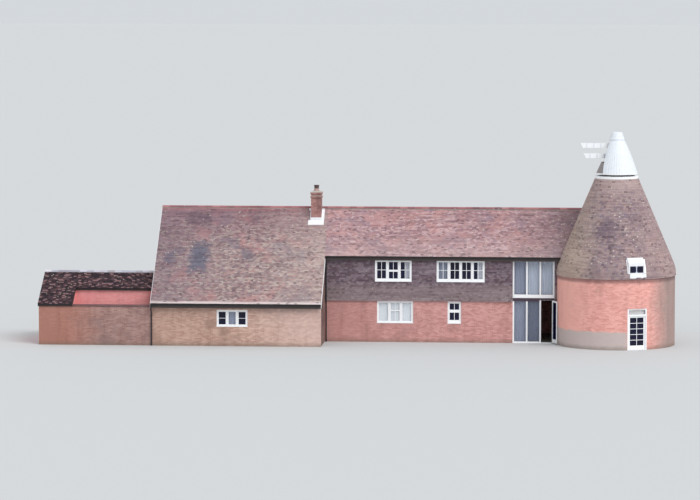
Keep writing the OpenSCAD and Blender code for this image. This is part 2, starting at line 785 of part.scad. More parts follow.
module upper_front_wall() {
    color(hung_tile) in_frame() difference() {
        union() {
            run(upper_wall_outline, stowage_x, -screen_left_x);
            run(upper_wall_outline, -screen_right_x, 0);
        }
        window_holes(upper_windows, -beyond, 2 * beyond);
        kiln_space(seat);
    }
}

module rear_wall() {
    color(brick) in_frame() to_rear() difference() {
        block(stowage_x, gable_x, 0, brick_wall_t, 0, floor_under_z);
        window_holes(lower_windows, -beyond, 2 * beyond);
    }
}

module upper_rear_wall() {
    color(hung_tile) in_frame() to_rear() difference() {
        run(upper_wall_outline, stowage_x, gable_x + tile_hang_t);
        window_holes(upper_windows, -beyond, 2 * beyond);
    }
}

module gable_wall() {
    color(brick) in_frame() difference() {
        block(gable_x - brick_wall_t, gable_x, 0, stowage_depth - brick_wall_t, 0, floor_under_z);
        kiln_space(seat);
    }
}

module upper_gable_wall() {
    inner_y = stowage_depth - frame_wall_t;
    outline = [
        [gable_start_y, floor_under_z], [inner_y, floor_under_z], [inner_y, wall_top_z(inner_y)],
        [ridge_y, wall_top_z(ridge_y)], [gable_start_y, wall_top_z(gable_start_y)]];
    skin = [
        [gable_start_y, tile_foot_z], [stowage_depth, tile_foot_z], [stowage_depth, floor_under_z],
        [inner_y, floor_under_z], [inner_y, wall_top_z(inner_y)],
        [ridge_y, wall_top_z(ridge_y)], [gable_start_y, wall_top_z(gable_start_y)]];
    color(hung_tile) in_frame() difference() {
        union() {
            run(outline, gable_x - frame_wall_t, gable_x);
            run(skin, gable_x, gable_x + tile_hang_t);
        }
        kiln_space(seat);
    }
}

module screen_bay(i) {
    translate([-screen_left_x + screen_post_w + i * screen_bay_w, 0, 0]) children();
}

module glazed_screen() {
    color(white_paint) in_frame() difference() {
        run([[screen_reveal, 0], [screen_back_y, 0], [screen_back_y, wall_top_z(screen_back_y)],
             [screen_reveal, wall_top_z(screen_reveal)]], -screen_left_x, -screen_right_x);
        for (i = [0 : 2]) screen_bay(i) {
            block(0, screen_light_w, -beyond, beyond, floor_top_z, upper_head_z);
            block(0, screen_light_w, -beyond, beyond,
                i == 2 ? threshold_z : screen_sill_h, screen_head_z);
        }
        screen_layer(beyond, floor_top_z, upper_head_z, 3);
        screen_layer(beyond, screen_sill_h, screen_head_z, 2);
    }
}

// A layer behind the thinner posts: the hollow for the glass, or the glass in it
module screen_layer(t, z0, z1, bays) {
    translate([0, screen_back_y - mullion_d, 0]) screen_bay(0)
        block(0, bays * screen_bay_w - screen_post_w, 0, t, z0, z1);
}

module at_garden_pin() {
    translate([-screen_right_x - screen_post_w, screen_reveal - pin_out, threshold_z + leaf_clear])
        children();
}

module garden_door_leaf() {
    in_frame() at_garden_pin() rotate([0, 0, garden_door_open])
        leaf(garden_leaf_w, garden_leaf_h, garden_bottom_rail);
}

module garden_door_glass() {
    in_frame() at_garden_pin() rotate([0, 0, garden_door_open])
        leaf_glass(garden_leaf_w, garden_leaf_h, garden_bottom_rail);
}

module front_window_frames() {
    color(white_paint) in_frame() {
        translate([0, -tile_hang_t, 0]) for (w = upper_windows) window_frame(w);
        translate([0, brick_reveal, 0]) for (w = lower_windows) window_frame(w);
        translate([0, barn_front_y + brick_reveal, 0]) window_frame(barn_window);
    }
}

module front_glass() {
    color(glass) in_frame() {
        translate([0, -tile_hang_t, 0]) for (w = upper_windows) window_glass(w);
        translate([0, brick_reveal, 0]) for (w = lower_windows) window_glass(w);
        translate([0, barn_front_y + brick_reveal, 0]) window_glass(barn_window);
        screen_layer(glass_t, floor_top_z, upper_head_z, 3);
        screen_layer(glass_t, screen_sill_h, screen_head_z, 2);
        kiln_fanlight();
        dormer_glass();
    }
}

module rear_window_frames() {
    color(white_paint) in_frame() to_rear() {
        translate([0, -tile_hang_t, 0]) for (w = upper_windows) window_frame(w);
        translate([0, brick_reveal, 0]) {
            for (w = lower_windows) window_frame(w);
            for (w = barn_rear_windows) window_frame(w);
        }
    }
}

module rear_glass() {
    color(glass) in_frame() to_rear() {
        translate([0, -tile_hang_t, 0]) for (w = upper_windows) window_glass(w);
        translate([0, brick_reveal, 0]) {
            for (w = lower_windows) window_glass(w);
            for (w = barn_rear_windows) window_glass(w);
        }
    }
}

module ground_floor() {
    inner_rear_y = stowage_depth - brick_wall_t;
    color(concrete) in_frame() {
        difference() {
            union() {
                block(barn_x + brick_wall_t, stowage_x - brick_wall_t,
                    barn_front_y + brick_wall_t, inner_rear_y, 0, ground_floor_t);
                block(stowage_x - brick_wall_t - 1, gable_x - brick_wall_t,
                    brick_wall_t, inner_rear_y, 0, ground_floor_t);
                block(-screen_left_x, -screen_right_x, screen_back_y, brick_wall_t + 1,
                    0, ground_floor_t);
            }
            kiln_space(seat);
            stack_shaft(seat);
        }
        at_kiln() cylinder(r = kiln_inner_r - seat, h = ground_floor_t);
    }
}

module upper_floor() {
    color(timber) in_frame() {
        difference() {
            union() {
                block(stowage_x, gable_x - frame_wall_t, frame_wall_t, stowage_depth - frame_wall_t,
                    floor_under_z, floor_top_z);
                block(-screen_left_x, -screen_right_x, screen_back_y, frame_wall_t + 1,
                    floor_under_z, floor_top_z);
            }
            kiln_space(seat);
        }
        at_kiln() translate([0, 0, floor_under_z]) cylinder(r = kiln_upper_r - seat, h = floor_t);
    }
}

module barn_front_wall() {
    inner_y = barn_front_y + brick_wall_t;
    color(barn_brick) in_frame() difference() {
        run([[barn_front_y, 0], [inner_y, 0], [inner_y, wall_top_z(inner_y)],
             [barn_front_y, wall_top_z(barn_front_y)]], barn_x + brick_wall_t, stowage_x);
        window_holes([barn_window], barn_front_y - beyond, barn_front_y + 2 * beyond);
    }
}

module barn_side_wall() {
    inner_y = barn_front_y + brick_wall_t;
    color(barn_brick) in_frame()
        run([[inner_y, 0], [brick_wall_t, 0], [brick_wall_t, wall_top_z(brick_wall_t)],
             [inner_y, wall_top_z(inner_y)]], stowage_x - brick_wall_t, stowage_x);
}

module barn_gable_wall() {
    color(barn_brick) in_frame()
        run([[barn_front_y, 0], [stowage_depth, 0], [stowage_depth, wall_top_z(stowage_depth)],
             [ridge_y, wall_top_z(ridge_y)], [barn_front_y, wall_top_z(barn_front_y)]],
            barn_x, barn_x + brick_wall_t);
}

module barn_rear_wall() {
    inner_y = stowage_depth - brick_wall_t;
    color(barn_brick) in_frame() difference() {
        run([[inner_y, 0], [stowage_depth, 0], [stowage_depth, wall_top_z(stowage_depth)],
             [inner_y, wall_top_z(inner_y)]], barn_x + brick_wall_t, stowage_x);
        to_rear() window_holes(barn_rear_windows, -beyond, 2 * beyond);
    }
}

// One slope of the main roof between the ridge and an eaves line
module main_slope(y0, x0, x1) {
    run([[ridge_y, roof_z(ridge_y)], [y0, roof_z(y0)], [y0, under_z(y0)],
         [ridge_y, under_z(ridge_y)]], x0, x1);
}

module front_roof() {
    color(roof_tile) in_frame() difference() {
        main_slope(eaves_y, stowage_x, gable_x + verge_out);
        kiln_space(seat);
    }
}

module rear_roof() {
    color(roof_tile) in_frame() main_slope(rear_eaves_y, barn_x - verge_out, gable_x + verge_out);
}

module barn_roof() {
    color(roof_tile) in_frame() difference() {
        union() {
            main_slope(barn_eaves_y, barn_x - verge_out, stowage_x);
            intersection() {
                main_slope(barn_eaves_y, stowage_x - 1, stowage_x + barn_verge_out);
                block(stowage_x - 1, far, -far, eaves_y, 0, far);
            }
        }
        stack_shaft(seat);
    }
}

// A run of half-round ridge tiles over a ridge of the given slope
module ridge_run(pitch, x0, x1) {
    translate([x0, 0, 0]) rotate([90, 0, 90]) linear_extrude(x1 - x0) difference() {
        translate([0, -ridge_tile_drop]) circle(r = ridge_tile_r);
        polygon([[0, seat], [far, seat - far * tan(pitch)], [-far, seat - far * tan(pitch)]]);
    }
}

module ridge_tiles() {
    color(roof_tile) in_frame() {
        translate([0, ridge_y, ridge_z])
            ridge_run(roof_pitch, barn_x - verge_out, gable_x + verge_out);
        translate([0, outhouse_ridge_y, outhouse_ridge_z])
            ridge_run(outhouse_pitch, yard_x - outhouse_verge, barn_x - verge_out - seat);
    }
}

// A half-round gutter with its back at y = 0 and its rim at z = 0
module gutter(x0, x1) {
    translate([x0, -gutter_r - seat, 0]) rotate([90, 0, 90]) linear_extrude(x1 - x0) difference() {
        circle(r = gutter_r);
        circle(r = gutter_r - gutter_t);
        translate([-far, 0]) square(2 * far);
    }
}

module gutters() {
    color(black_paint) in_frame() {
        difference() {
            translate([0, eaves_y, roof_z(eaves_y) - gutter_low])
                gutter(stowage_x + barn_verge_out + seat, 0);
            kiln_space(2 * seat);
        }
        translate([0, barn_eaves_y, roof_z(barn_eaves_y) - gutter_low])
            gutter(barn_x - verge_out, stowage_x + barn_verge_out);
        translate([0, rear_eaves_y, roof_z(rear_eaves_y) - gutter_low]) mirror([0, 1, 0])
            gutter(barn_x - verge_out, gable_x + verge_out);
    }
}

// A downpipe from a gutter's underside, leaning back to the wall and then down it,
// with a ball joint at each bend
module downpipe(x, gutter_y, wall_y, top_z) {
    neck_z = top_z - abs(wall_y - gutter_y) - neck_h;
    toward = wall_y > gutter_y ? 1 : -1;
    reach = abs(wall_y - gutter_y) * sqrt(2);
    translate([x, gutter_y, top_z - neck_h]) cylinder(r = pipe_r, h = neck_h);
    translate([x, gutter_y, top_z - neck_h]) sphere(r = pipe_r + pipe_joint);
    translate([x, gutter_y, top_z - neck_h]) rotate([-toward * 135, 0, 0])
        cylinder(r = pipe_r, h = reach);
    translate([x, wall_y, neck_z]) sphere(r = pipe_r + pipe_joint);
    translate([x, wall_y, 0]) cylinder(r = pipe_r, h = neck_z);
}

module downpipes() {
    front_z = roof_z(eaves_y) - gutter_low - gutter_r - seat;
    barn_z = roof_z(barn_eaves_y) - gutter_low - gutter_r - seat;
    off = pipe_r + pipe_joint + seat;
    $fn = small_fn;
    color(black_paint) in_frame() {
        downpipe(stowage_x + barn_verge_out + off + seat, eaves_y - gutter_r,
            -hung_out - off, front_z);
        downpipe(barn_x - off, barn_eaves_y - gutter_r, barn_front_y - coping_out - off, barn_z);
        downpipe(gable_x - pipe_in, rear_eaves_y + gutter_r, stowage_depth + hung_out + off, front_z);
        downpipe(barn_x + pipe_in, rear_eaves_y + gutter_r, stowage_depth + off, front_z);
    }
}

module stack_shaft(gap) {
    block(stack_x - stack_w / 2 - gap, stack_x + stack_w / 2 + gap,
        stack_front_y - gap, stack_front_y + stack_w + gap, -beyond, far);
}

module chimney_stack() {
    half_w = stack_w / 2 + stack_course_out;
    color(brick) in_frame() union() {
        intersection() {
            stack_shaft(0);
            block(-far, 0, 0, far, 0, stack_top_z);
        }
        for (down = [1, 3])
            block(stack_x - half_w, stack_x + half_w,
                stack_front_y - stack_course_out, stack_front_y + stack_w + stack_course_out,
                stack_top_z - down * stack_course_h, stack_top_z - (down - 1) * stack_course_h);
    }
}

module chimney_pot() {
    color(kiln_brick) in_frame()
        translate([stack_x, stack_front_y + stack_w / 2, stack_top_z]) rotate_extrude() polygon([
            [pot_r - pot_t, 0], [pot_foot_r, 0], [pot_foot_r, pot_t], [pot_r, 1.5 * pot_t],
            [pot_r - pot_t / 2, 0.78 * pot_h], [pot_r, 0.83 * pot_h], [pot_r, pot_h],
            [pot_r - pot_t, pot_h], [pot_r - 1.25 * pot_t, 0.85 * pot_h]]);
}

module yard_wall() {
    coping_z = yard_wall_h - coping_h;
    bay_z = coping_z - coping_h;
    color(barn_brick) in_frame() union() {
        block(yard_x, barn_x, barn_front_y, yard_back_y, 0, coping_z);
        block(bay_x + outhouse_verge + seat, barn_x, barn_front_y - coping_out,
            yard_back_y + coping_out, coping_z, yard_wall_h);
        run([[barn_front_y, bay_z], [yard_back_y, bay_z],
             [yard_back_y, outhouse_wall_z(yard_back_y)],
             [barn_front_y, outhouse_wall_z(barn_front_y)]], yard_x, bay_x);
    }
}

module outhouse_walls() {
    inner_y = outhouse_front_y + yard_wall_t;
    rear_inner_y = outhouse_rear_y - yard_wall_t;
    color(kiln_brick) in_frame() union() {
        run([[outhouse_front_y, 0], [inner_y, 0], [inner_y, outhouse_wall_z(inner_y)],
             [outhouse_front_y, outhouse_wall_z(outhouse_front_y)]],
            bay_x - yard_wall_t, barn_x);
        run([[yard_back_y, 0], [inner_y, 0], [inner_y, outhouse_wall_z(inner_y)],
             [yard_back_y, outhouse_wall_z(yard_back_y)]],
            bay_x - yard_wall_t, bay_x);
        run([[yard_back_y, 0], [outhouse_rear_y, 0],
             [outhouse_rear_y, outhouse_wall_z(outhouse_rear_y)],
             [outhouse_ridge_y, outhouse_wall_z(outhouse_ridge_y)],
             [yard_back_y, outhouse_wall_z(yard_back_y)]],
            yard_x, yard_x + yard_wall_t);
        run([[rear_inner_y, 0], [outhouse_rear_y, 0],
             [outhouse_rear_y, outhouse_wall_z(outhouse_rear_y)],
             [rear_inner_y, outhouse_wall_z(rear_inner_y)]],
            yard_x, barn_x);
    }
}

module outhouse_slope(y0, x0, x1) {
    run([[outhouse_ridge_y, outhouse_z(outhouse_ridge_y)], [y0, outhouse_z(y0)],
         [y0, outhouse_under_z(y0)], [outhouse_ridge_y, outhouse_under_z(outhouse_ridge_y)]], x0, x1);
}

module outhouse_roof() {
    start_x = yard_x - outhouse_verge;
    color(hung_tile) in_frame() union() {
        outhouse_slope(outhouse_front_y - outhouse_eaves_out, start_x, barn_x);
        outhouse_slope(barn_front_y - bay_eaves_out, start_x, bay_x + outhouse_verge);
        outhouse_slope(outhouse_rear_y + outhouse_eaves_out, start_x, barn_x);
    }
}

kiln_wall_front();
kiln_wall_right();
kiln_wall_rear();
kiln_wall_left();
kiln_wall_over_door();
kiln_roof();
curb_ring();
sprattle_beams();
kiln_door_frame();
kiln_door_leaf();
kiln_door_glass();
hinge_pins();
dormer_surround();
dormer_frame();
cowl_frame();
cowl_hood();
cowl_lip();
cowl_vane();
cowl_cap();
front_wall();
upper_front_wall();
rear_wall();
upper_rear_wall();
gable_wall();
upper_gable_wall();
glazed_screen();
garden_door_leaf();
garden_door_glass();
front_window_frames();
front_glass();
rear_window_frames();
rear_glass();
ground_floor();
upper_floor();
barn_front_wall();
barn_side_wall();
barn_gable_wall();
barn_rear_wall();
front_roof();
rear_roof();
barn_roof();
ridge_tiles();
gutters();
downpipes();
chimney_stack();
chimney_pot();
yard_wall();
outhouse_walls();
outhouse_roof();
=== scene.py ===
import bpy
import math
import numpy as np
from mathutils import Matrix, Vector


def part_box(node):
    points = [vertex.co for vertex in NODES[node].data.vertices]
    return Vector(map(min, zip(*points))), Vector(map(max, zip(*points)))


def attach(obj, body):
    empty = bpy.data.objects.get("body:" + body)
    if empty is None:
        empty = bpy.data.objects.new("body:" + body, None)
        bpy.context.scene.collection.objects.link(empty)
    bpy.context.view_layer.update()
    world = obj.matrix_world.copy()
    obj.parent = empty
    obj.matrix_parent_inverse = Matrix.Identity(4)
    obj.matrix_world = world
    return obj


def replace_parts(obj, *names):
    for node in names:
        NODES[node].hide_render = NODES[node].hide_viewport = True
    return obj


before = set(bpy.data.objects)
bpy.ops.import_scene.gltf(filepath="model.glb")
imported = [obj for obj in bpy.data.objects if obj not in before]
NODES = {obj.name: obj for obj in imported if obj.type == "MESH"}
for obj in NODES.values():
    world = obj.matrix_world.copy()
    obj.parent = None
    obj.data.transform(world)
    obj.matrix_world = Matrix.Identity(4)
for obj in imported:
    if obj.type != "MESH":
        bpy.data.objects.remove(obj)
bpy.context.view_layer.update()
rng = np.random.default_rng(7)

# ---- places, in metres, measured from the kiln's axis and the stowage's front wall
curb_lo, curb_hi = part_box("curb_ring")
KILN_X = (curb_lo.x + curb_hi.x) / 2
KILN_Y = (curb_lo.y + curb_hi.y) / 2
FRONT_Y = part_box("front_wall")[0].y
KILN_BACK = KILN_Y - FRONT_Y
RIDGE_Y, DEPTH, EAVES_Z, ROOF_T = 2.6, 5.2, 5.2235, 0.2
PITCH = math.radians(41.7)
RIDGE_Z = EAVES_Z + RIDGE_Y * math.tan(PITCH)
STOWAGE_X, BARN_X, YARD_X = -16.74, -26.39, -32.94
BARN_FRONT = -2.85
BAY_X = YARD_X + 1.9
STACK_W = 0.6
STACK_X, STACK_FRONT, STACK_TOP = STOWAGE_X - 0.66, RIDGE_Y - 0.8, RIDGE_Z + 0.94
TILE_W, GAUGE, TILE_T = 0.165, 0.1, 0.012
KILN_R, CONE_R, CONE_FOOT_Z, CONE_TOP_Z = 3.37, 3.43, 4.01, 9.53
FOOT_R, CONE_LEAN = 1.93, math.radians(90 - 66.95)
DOOR_TURN, DORMER_TURN = 22.0, 20.5

# window rows: middle, width, sill, head and number of lights
UPPER = [(-12.785, 2.11, 3.5, 4.75, 3), (-8.91, 2.76, 3.5, 4.75, 4)]
LOWER = [(-12.685, 2.09, 1.09, 2.37, 3), (-9.27, 0.78, 1.09, 2.37, 1)]
BARN_WINDOW = (STOWAGE_X - 5.07, 1.78, 1.11, 2.08, 3)
REAR_BARN_WINDOWS = [(STOWAGE_X - inward, 1.78, 1.11, 2.08, 3) for inward in (2.36, 7.16)]
SCREEN_LIGHTS = [(-5.83 + 0.77 * i, -5.15 + 0.77 * i) for i in range(3)]
SCREEN_UPPER, SCREEN_LOWER = (2.8, 4.87), (0.09, 2.48)


def place(x, y, z):
    return np.array([KILN_X + x, FRONT_Y + y, z])


# ---- materials

ACROSS, UP = 0, 2
BRICK_L, BRICK_H, JOINT_W = 0.225, 0.075, 0.005
WALL_R = 3.36
COWL_BOARDS = 44
THREADS = 2600.0


def lin(rgb):
    return [((c / 255 + 0.055) / 1.055) ** 2.4 if c > 10 else c / 255 / 12.92 for c in rgb] + [1.0]


def darker(rgb, share=0.8):
    return [c * share for c in rgb]


class Mat:
    """A procedural material: n() adds a node, whose inputs are values or other nodes' sockets."""

    def __init__(self, name, rough=0.8, **sockets):
        self.m = bpy.data.materials.new(name)
        self.m.use_nodes = True
        self.t = self.m.node_tree
        self.bsdf = self.t.nodes["Principled BSDF"]
        self.set(self.bsdf, {"Roughness": rough, **sockets})
        self.where = self.n("ShaderNodeTexCoord").outputs["Object"]

    def set(self, node, inputs):
        for key, value in inputs.items():
            socket = node.inputs[key]
            if isinstance(value, bpy.types.NodeSocket):
                self.t.links.new(value, socket)
            else:
                socket.default_value = value

    def n(self, kind, inputs=None, **props):
        node = self.t.nodes.new(kind)
        for key, value in props.items():
            setattr(node, key, value)
        self.set(node, inputs or {})
        return node

    def math(self, op, a, b=0.0, clamp=False):
        return self.n("ShaderNodeMath", {0: a, 1: b}, operation=op, use_clamp=clamp).outputs[0]

    def times(self, a, b, clamp=False):
        return self.math("MULTIPLY", a, b, clamp)

    def plus(self, a, b):
        return self.math("ADD", a, b)

    def minus(self, a, b):
        return self.math("SUBTRACT", a, b)

    def mix(self, fac, a, b, blend="MIX"):
        return self.n("ShaderNodeMix", {0: fac, 6: a, 7: b}, data_type="RGBA", blend_type=blend).outputs[2]

    def noise(self, scale, detail=3.0, rough=0.5, vector=None):
        return self.n("ShaderNodeTexNoise", {"Vector": vector or self.where, "Scale": scale,
                      "Detail": detail, "Roughness": rough}).outputs["Fac"]

    def ramp(self, fac, lo, hi, out0=0.0, out1=1.0):
        return self.n("ShaderNodeMapRange", {"Value": fac, "From Min": lo, "From Max": hi,
                      "To Min": out0, "To Max": out1}).outputs[0]

    def stretch(self, x, y, z):
        return self.n("ShaderNodeMapping", {"Vector": self.where, "Scale": (x, y, z)}).outputs[0]

    def xyz(self):
        return self.n("ShaderNodeSeparateXYZ", {0: self.where}).outputs

    def facing(self, axis):
        """How far the surface faces along an axis."""
        normal = self.n("ShaderNodeNewGeometry").outputs["Normal"]
        return self.n("ShaderNodeSeparateXYZ", {0: normal}).outputs[axis]

    def round_kiln(self, x, y):
        """The angle round the kiln's axis."""
        return self.math("ARCTAN2", self.minus(y, KILN_Y), self.minus(x, KILN_X))

    def roughened(self, value, amount, *noise):
        return self.plus(value, self.times(self.noise(*noise), amount))

    def bump(self, height, strength, distance):
        return self.n("ShaderNodeBump", {"Height": height, "Strength": strength,
                      "Distance": distance}).outputs[0]

    def done(self, colour, normal, rough=None):
        self.set(self.bsdf, {"Base Color": colour, "Normal": normal})
        if rough is not None:
            self.set(self.bsdf, {"Roughness": rough})
        return self.m


def wall_uv(mat, round_wall):
    """Along-the-wall and height coordinates, for a flat wall or for the kiln's round one."""
    x, y, z = mat.xyz()
    if round_wall:
        along = mat.times(mat.round_kiln(x, y), WALL_R)
    else:
        side = mat.math("GREATER_THAN", mat.math("ABSOLUTE", mat.facing(ACROSS)), 0.7)
        along = mat.plus(mat.times(x, mat.minus(1.0, side)), mat.times(y, side))
    return mat.n("ShaderNodeCombineXYZ", {0: along, 1: z, 2: 0.0}).outputs[0], z


def graded(mat, colour, grades):
    """Mixes colours in with ragged edges: colour, axis, from and to (from the kiln's axis or up), share."""
    place_at = mat.xyz()
    ragged = mat.noise(1.1, 5, 0.65)
    for tint, axis, start, end, share in grades:
        if axis == ACROSS:
            start, end = KILN_X + start, KILN_X + end
        along = mat.plus(place_at[axis], mat.times(mat.minus(ragged, 0.5), abs(end - start) * 0.8))
        colour = mat.mix(mat.ramp(along, start, end, 0, share), colour, lin(tint))
    return colour


def blotted(mat, colour, blots):
    """Ragged patches of another colour: colour, two places across, two heights, share."""
    x, y, z = mat.xyz()
    ragged = mat.times(mat.minus(mat.noise(2.2, 5, 0.7), 0.5), 1.1)
    x, z = mat.plus(x, ragged), mat.plus(z, ragged)

    def between(value, low, high, soft):
        return mat.times(mat.ramp(value, low, low + soft), mat.ramp(value, high - soft, high, 1, 0))

    for tint, x0, x1, z0, z1, share in blots:
        across = between(x, KILN_X + x0, KILN_X + x1, 0.3)
        upward = between(z, z0, z1, 0.4)
        colour = mat.mix(mat.times(mat.times(across, upward), share), colour, lin(tint))
    return colour


def brick(name, dark, light, mortar, patch, patch_at=0.62, round_wall=False, grades=(), foot=None):
    """Coursed bricks; patch is worn brick, foot a pale band: colour, top, where it fades out."""
    mat = Mat(name, rough=0.9)
    uv, z = wall_uv(mat, round_wall)
    tex = mat.n("ShaderNodeTexBrick", {
        "Vector": uv, "Scale": 1.0, "Mortar Size": JOINT_W, "Mortar Smooth": 0.3, "Bias": 0.0,
        "Brick Width": BRICK_L, "Row Height": BRICK_H,
        "Color1": lin(dark), "Color2": lin(light), "Mortar": lin(mortar)})
    wear = mat.ramp(mat.noise(0.55, 5, 0.62), patch_at, patch_at + 0.1, 0, 0.75)
    worn = graded(mat, mat.mix(wear, tex.outputs["Color"], lin(patch)), grades)
    grain = mat.noise(38, 4, 0.7)
    grey = mat.n("ShaderNodeCombineColor", {0: grain, 1: grain, 2: grain}).outputs[0]
    colour = mat.mix(0.4, worn, grey, "SOFT_LIGHT")
    streak = mat.noise(1.0, 4, 0.6, mat.stretch(2.4, 2.4, 0.35))
    colour = mat.mix(mat.ramp(streak, 0.5, 0.75, 0, 0.25), colour, lin((150, 118, 108)), "MULTIPLY")
    if foot:
        tint, top, start, end = foot
        low = mat.ramp(mat.roughened(z, 0.3, 1.6, 5, 0.6), top + 0.1, top + 0.2, 0.9, 0)
        here = mat.ramp(mat.xyz()[ACROSS], KILN_X + start, KILN_X + end, 1, 0)
        colour = mat.mix(mat.times(low, here, clamp=True), colour, lin(tint))
    damp = mat.ramp(mat.roughened(z, 0.3, 2.2, 4, 0.6), 0.18, 0.42, 0.5, 0)
    colour = mat.mix(damp, colour, lin((120, 108, 92)))
    height = mat.minus(mat.times(grain, 0.25), tex.outputs["Fac"])
    return mat.done(colour, mat.bump(height, 0.8, 0.008))


def clay_tiles(name, colours, patches=(), lichen=0.3, grades=(), blots=()):
    """Tile by tile colour from each tile's own random number, under patches of weathering."""
    mat = Mat(name, rough=0.85)
    rand = mat.n("ShaderNodeNewGeometry").outputs["Random Per Island"]
    pick = mat.n("ShaderNodeValToRGB", {"Fac": rand})
    pick.color_ramp.interpolation = "CONSTANT"
    stops = pick.color_ramp.elements
    for i, c in enumerate(colours):
        stop = stops[i] if i < 2 else stops.new(i / len(colours))
        stop.position = i / len(colours)
        stop.color = lin(c)
    colour = pick.outputs[0]
    for k, (tint, share, strength, scale) in enumerate(patches):
        moved = mat.n("ShaderNodeMapping", {"Vector": mat.where, "Location": (7.3 * k, 3.1 * k, 5.7 * k)})
        big = mat.noise(scale, 6, 0.65, moved.outputs[0])
        colour = mat.mix(mat.ramp(big, 0.62 - share, 0.70 - share, 0, strength), colour, lin(tint))
    colour = blotted(mat, graded(mat, colour, grades), blots)
    course = mat.noise(1.0, 3, 0.7, mat.stretch(0.5, 0.5, 9.0))
    colour = mat.mix(mat.ramp(course, 0.42, 0.62, 0, 0.4), colour, lin((176, 162, 164)), "MULTIPLY")
    odd = mat.math("GREATER_THAN", mat.math("FRACT", mat.times(rand, 61.0)), 0.93)
    colour = mat.mix(mat.times(odd, 0.45), colour, lin((84, 66, 70)))
    spots = mat.n("ShaderNodeTexVoronoi", {"Vector": mat.where, "Scale": 3.6}, feature="F1")
    near = mat.roughened(spots.outputs["Distance"], 0.08, 16, 3, 0.6)
    spot = mat.times(mat.ramp(near, 0.15, 0.21, 1, 0), mat.ramp(mat.noise(0.8, 3), 0.42, 0.56), clamp=True)
    colour = mat.mix(mat.times(spot, lichen, clamp=True), colour, lin((226, 218, 204)))
    grain = mat.noise(60, 5, 0.7)
    colour = mat.mix(mat.ramp(grain, 0.35, 0.7, 0.0, 0.3), colour, lin((130, 112, 108)), "MULTIPLY")
    return mat.done(colour, mat.bump(grain, 0.5, 0.004))


def paint(name, colour, dirt, rough=0.45, dirt_share=0.18, boards=0):
    """Weathered paint; boards is the number of upright boards round the kiln's axis."""
    mat = Mat(name, rough=rough)
    streak = mat.noise(3.0, 6, 0.65, mat.stretch(5, 5, 0.7))
    c = mat.mix(mat.ramp(streak, 0.5, 0.8, 0, dirt_share * 2), lin(colour), lin(dirt))
    c = mat.mix(mat.ramp(mat.noise(22, 5, 0.7), 0.55, 0.75, 0, dirt_share), c, lin(dirt))
    height = mat.noise(30, 4, 0.6, mat.stretch(8, 8, 0.6))
    if boards:
        x, y, z = mat.xyz()
        saw = mat.math("FRACT", mat.times(mat.round_kiln(x, y), boards / (2 * math.pi)))
        joint = mat.ramp(mat.math("ABSOLUTE", mat.minus(saw, 0.5)), 0.45, 0.49)
        c = mat.mix(mat.times(joint, 0.5), c, lin((120, 122, 124)))
        height = mat.minus(mat.times(height, 0.2), joint)
    return mat.done(c, mat.bump(height, 0.35, 0.004), mat.ramp(streak, 0.3, 0.8, rough - 0.08, rough + 0.2))


def two_tone_paint(name, middle, border, half_w):
    """Paint in one colour on the middle post of the dormer's frame and another round it."""
    mat = Mat(name, rough=0.45)
    x, y, z = mat.xyz()
    a = math.radians(DORMER_TURN)
    across = mat.plus(mat.times(mat.minus(x, KILN_X), math.cos(a)),
                      mat.times(mat.minus(y, KILN_Y), math.sin(a)))
    near = mat.math("LESS_THAN", mat.math("ABSOLUTE", across), half_w)
    grain = mat.noise(30, 4, 0.6)
    return mat.done(mat.mix(near, lin(border), lin(middle)), mat.bump(grain, 0.3, 0.002))


def lead_sheet(name, colour, stain):
    mat = Mat(name, rough=0.5, Metallic=0.2)
    streak = mat.noise(2.0, 6, 0.65, mat.stretch(4, 4, 0.8))
    c = mat.mix(mat.ramp(streak, 0.4, 0.75, 0, 0.7), lin(colour), lin(stain))
    return mat.done(c, mat.bump(mat.noise(9, 4), 0.4, 0.006))


def wood(name, colour, dark):
    mat = Mat(name, rough=0.7)
    grain = mat.noise(4, 8, 0.7, mat.stretch(0.8, 12, 12))
    return mat.done(mat.mix(mat.ramp(grain, 0.35, 0.7), lin(colour), lin(dark)), mat.bump(grain, 0.4, 0.003))


def speckled(name, colour, scale=14, grades=()):
    """Stone, mortar or fired clay."""
    mat = Mat(name, rough=0.85)
    speck = mat.noise(scale, 6, 0.7)
    c = mat.mix(mat.ramp(speck, 0.3, 0.7), lin(colour), lin(darker(colour)))
    if grades:
        c = graded(mat, c, grades)
    return mat.done(c, mat.bump(speck, 0.3, 0.003))


def cloth(name, colour, fold):
    mat = Mat(name, rough=0.9, **{"Sheen Weight": 0.3})
    x, y, z = mat.xyz()
    weave = mat.times(mat.math("SINE", mat.times(x, THREADS)), mat.math("SINE", mat.times(z, THREADS)))
    tone = mat.noise(3, 4, 0.6, mat.stretch(6, 6, 0.5))
    c = mat.mix(mat.ramp(tone, 0.3, 0.7, 0, 0.5), lin(colour), lin(fold))
    return mat.done(c, mat.bump(weave, 0.2, 0.0006))


def slab_finish(name, tile_colour, edge_colour):
    """A roof slab under its tiles: clay on top, painted boards on its ends and underside."""
    mat = Mat(name, rough=0.8)
    nz = mat.facing(UP)
    grain = mat.noise(5, 6, 0.6, mat.stretch(1, 6, 6))
    board = mat.mix(mat.ramp(grain, 0.4, 0.7, 0, 0.6), lin(edge_colour), lin(darker(edge_colour, 0.75)))
    c = mat.mix(mat.math("GREATER_THAN", nz, 0.3), board, lin(tile_colour))
    return mat.done(c, mat.bump(grain, 0.3, 0.003))


def in_span(mat, axis, low, high):
    """One between two places along an axis, zero elsewhere."""
    place_at = mat.xyz()[axis]
    return mat.times(mat.math("GREATER_THAN", place_at, low), mat.math("LESS_THAN", place_at, high))


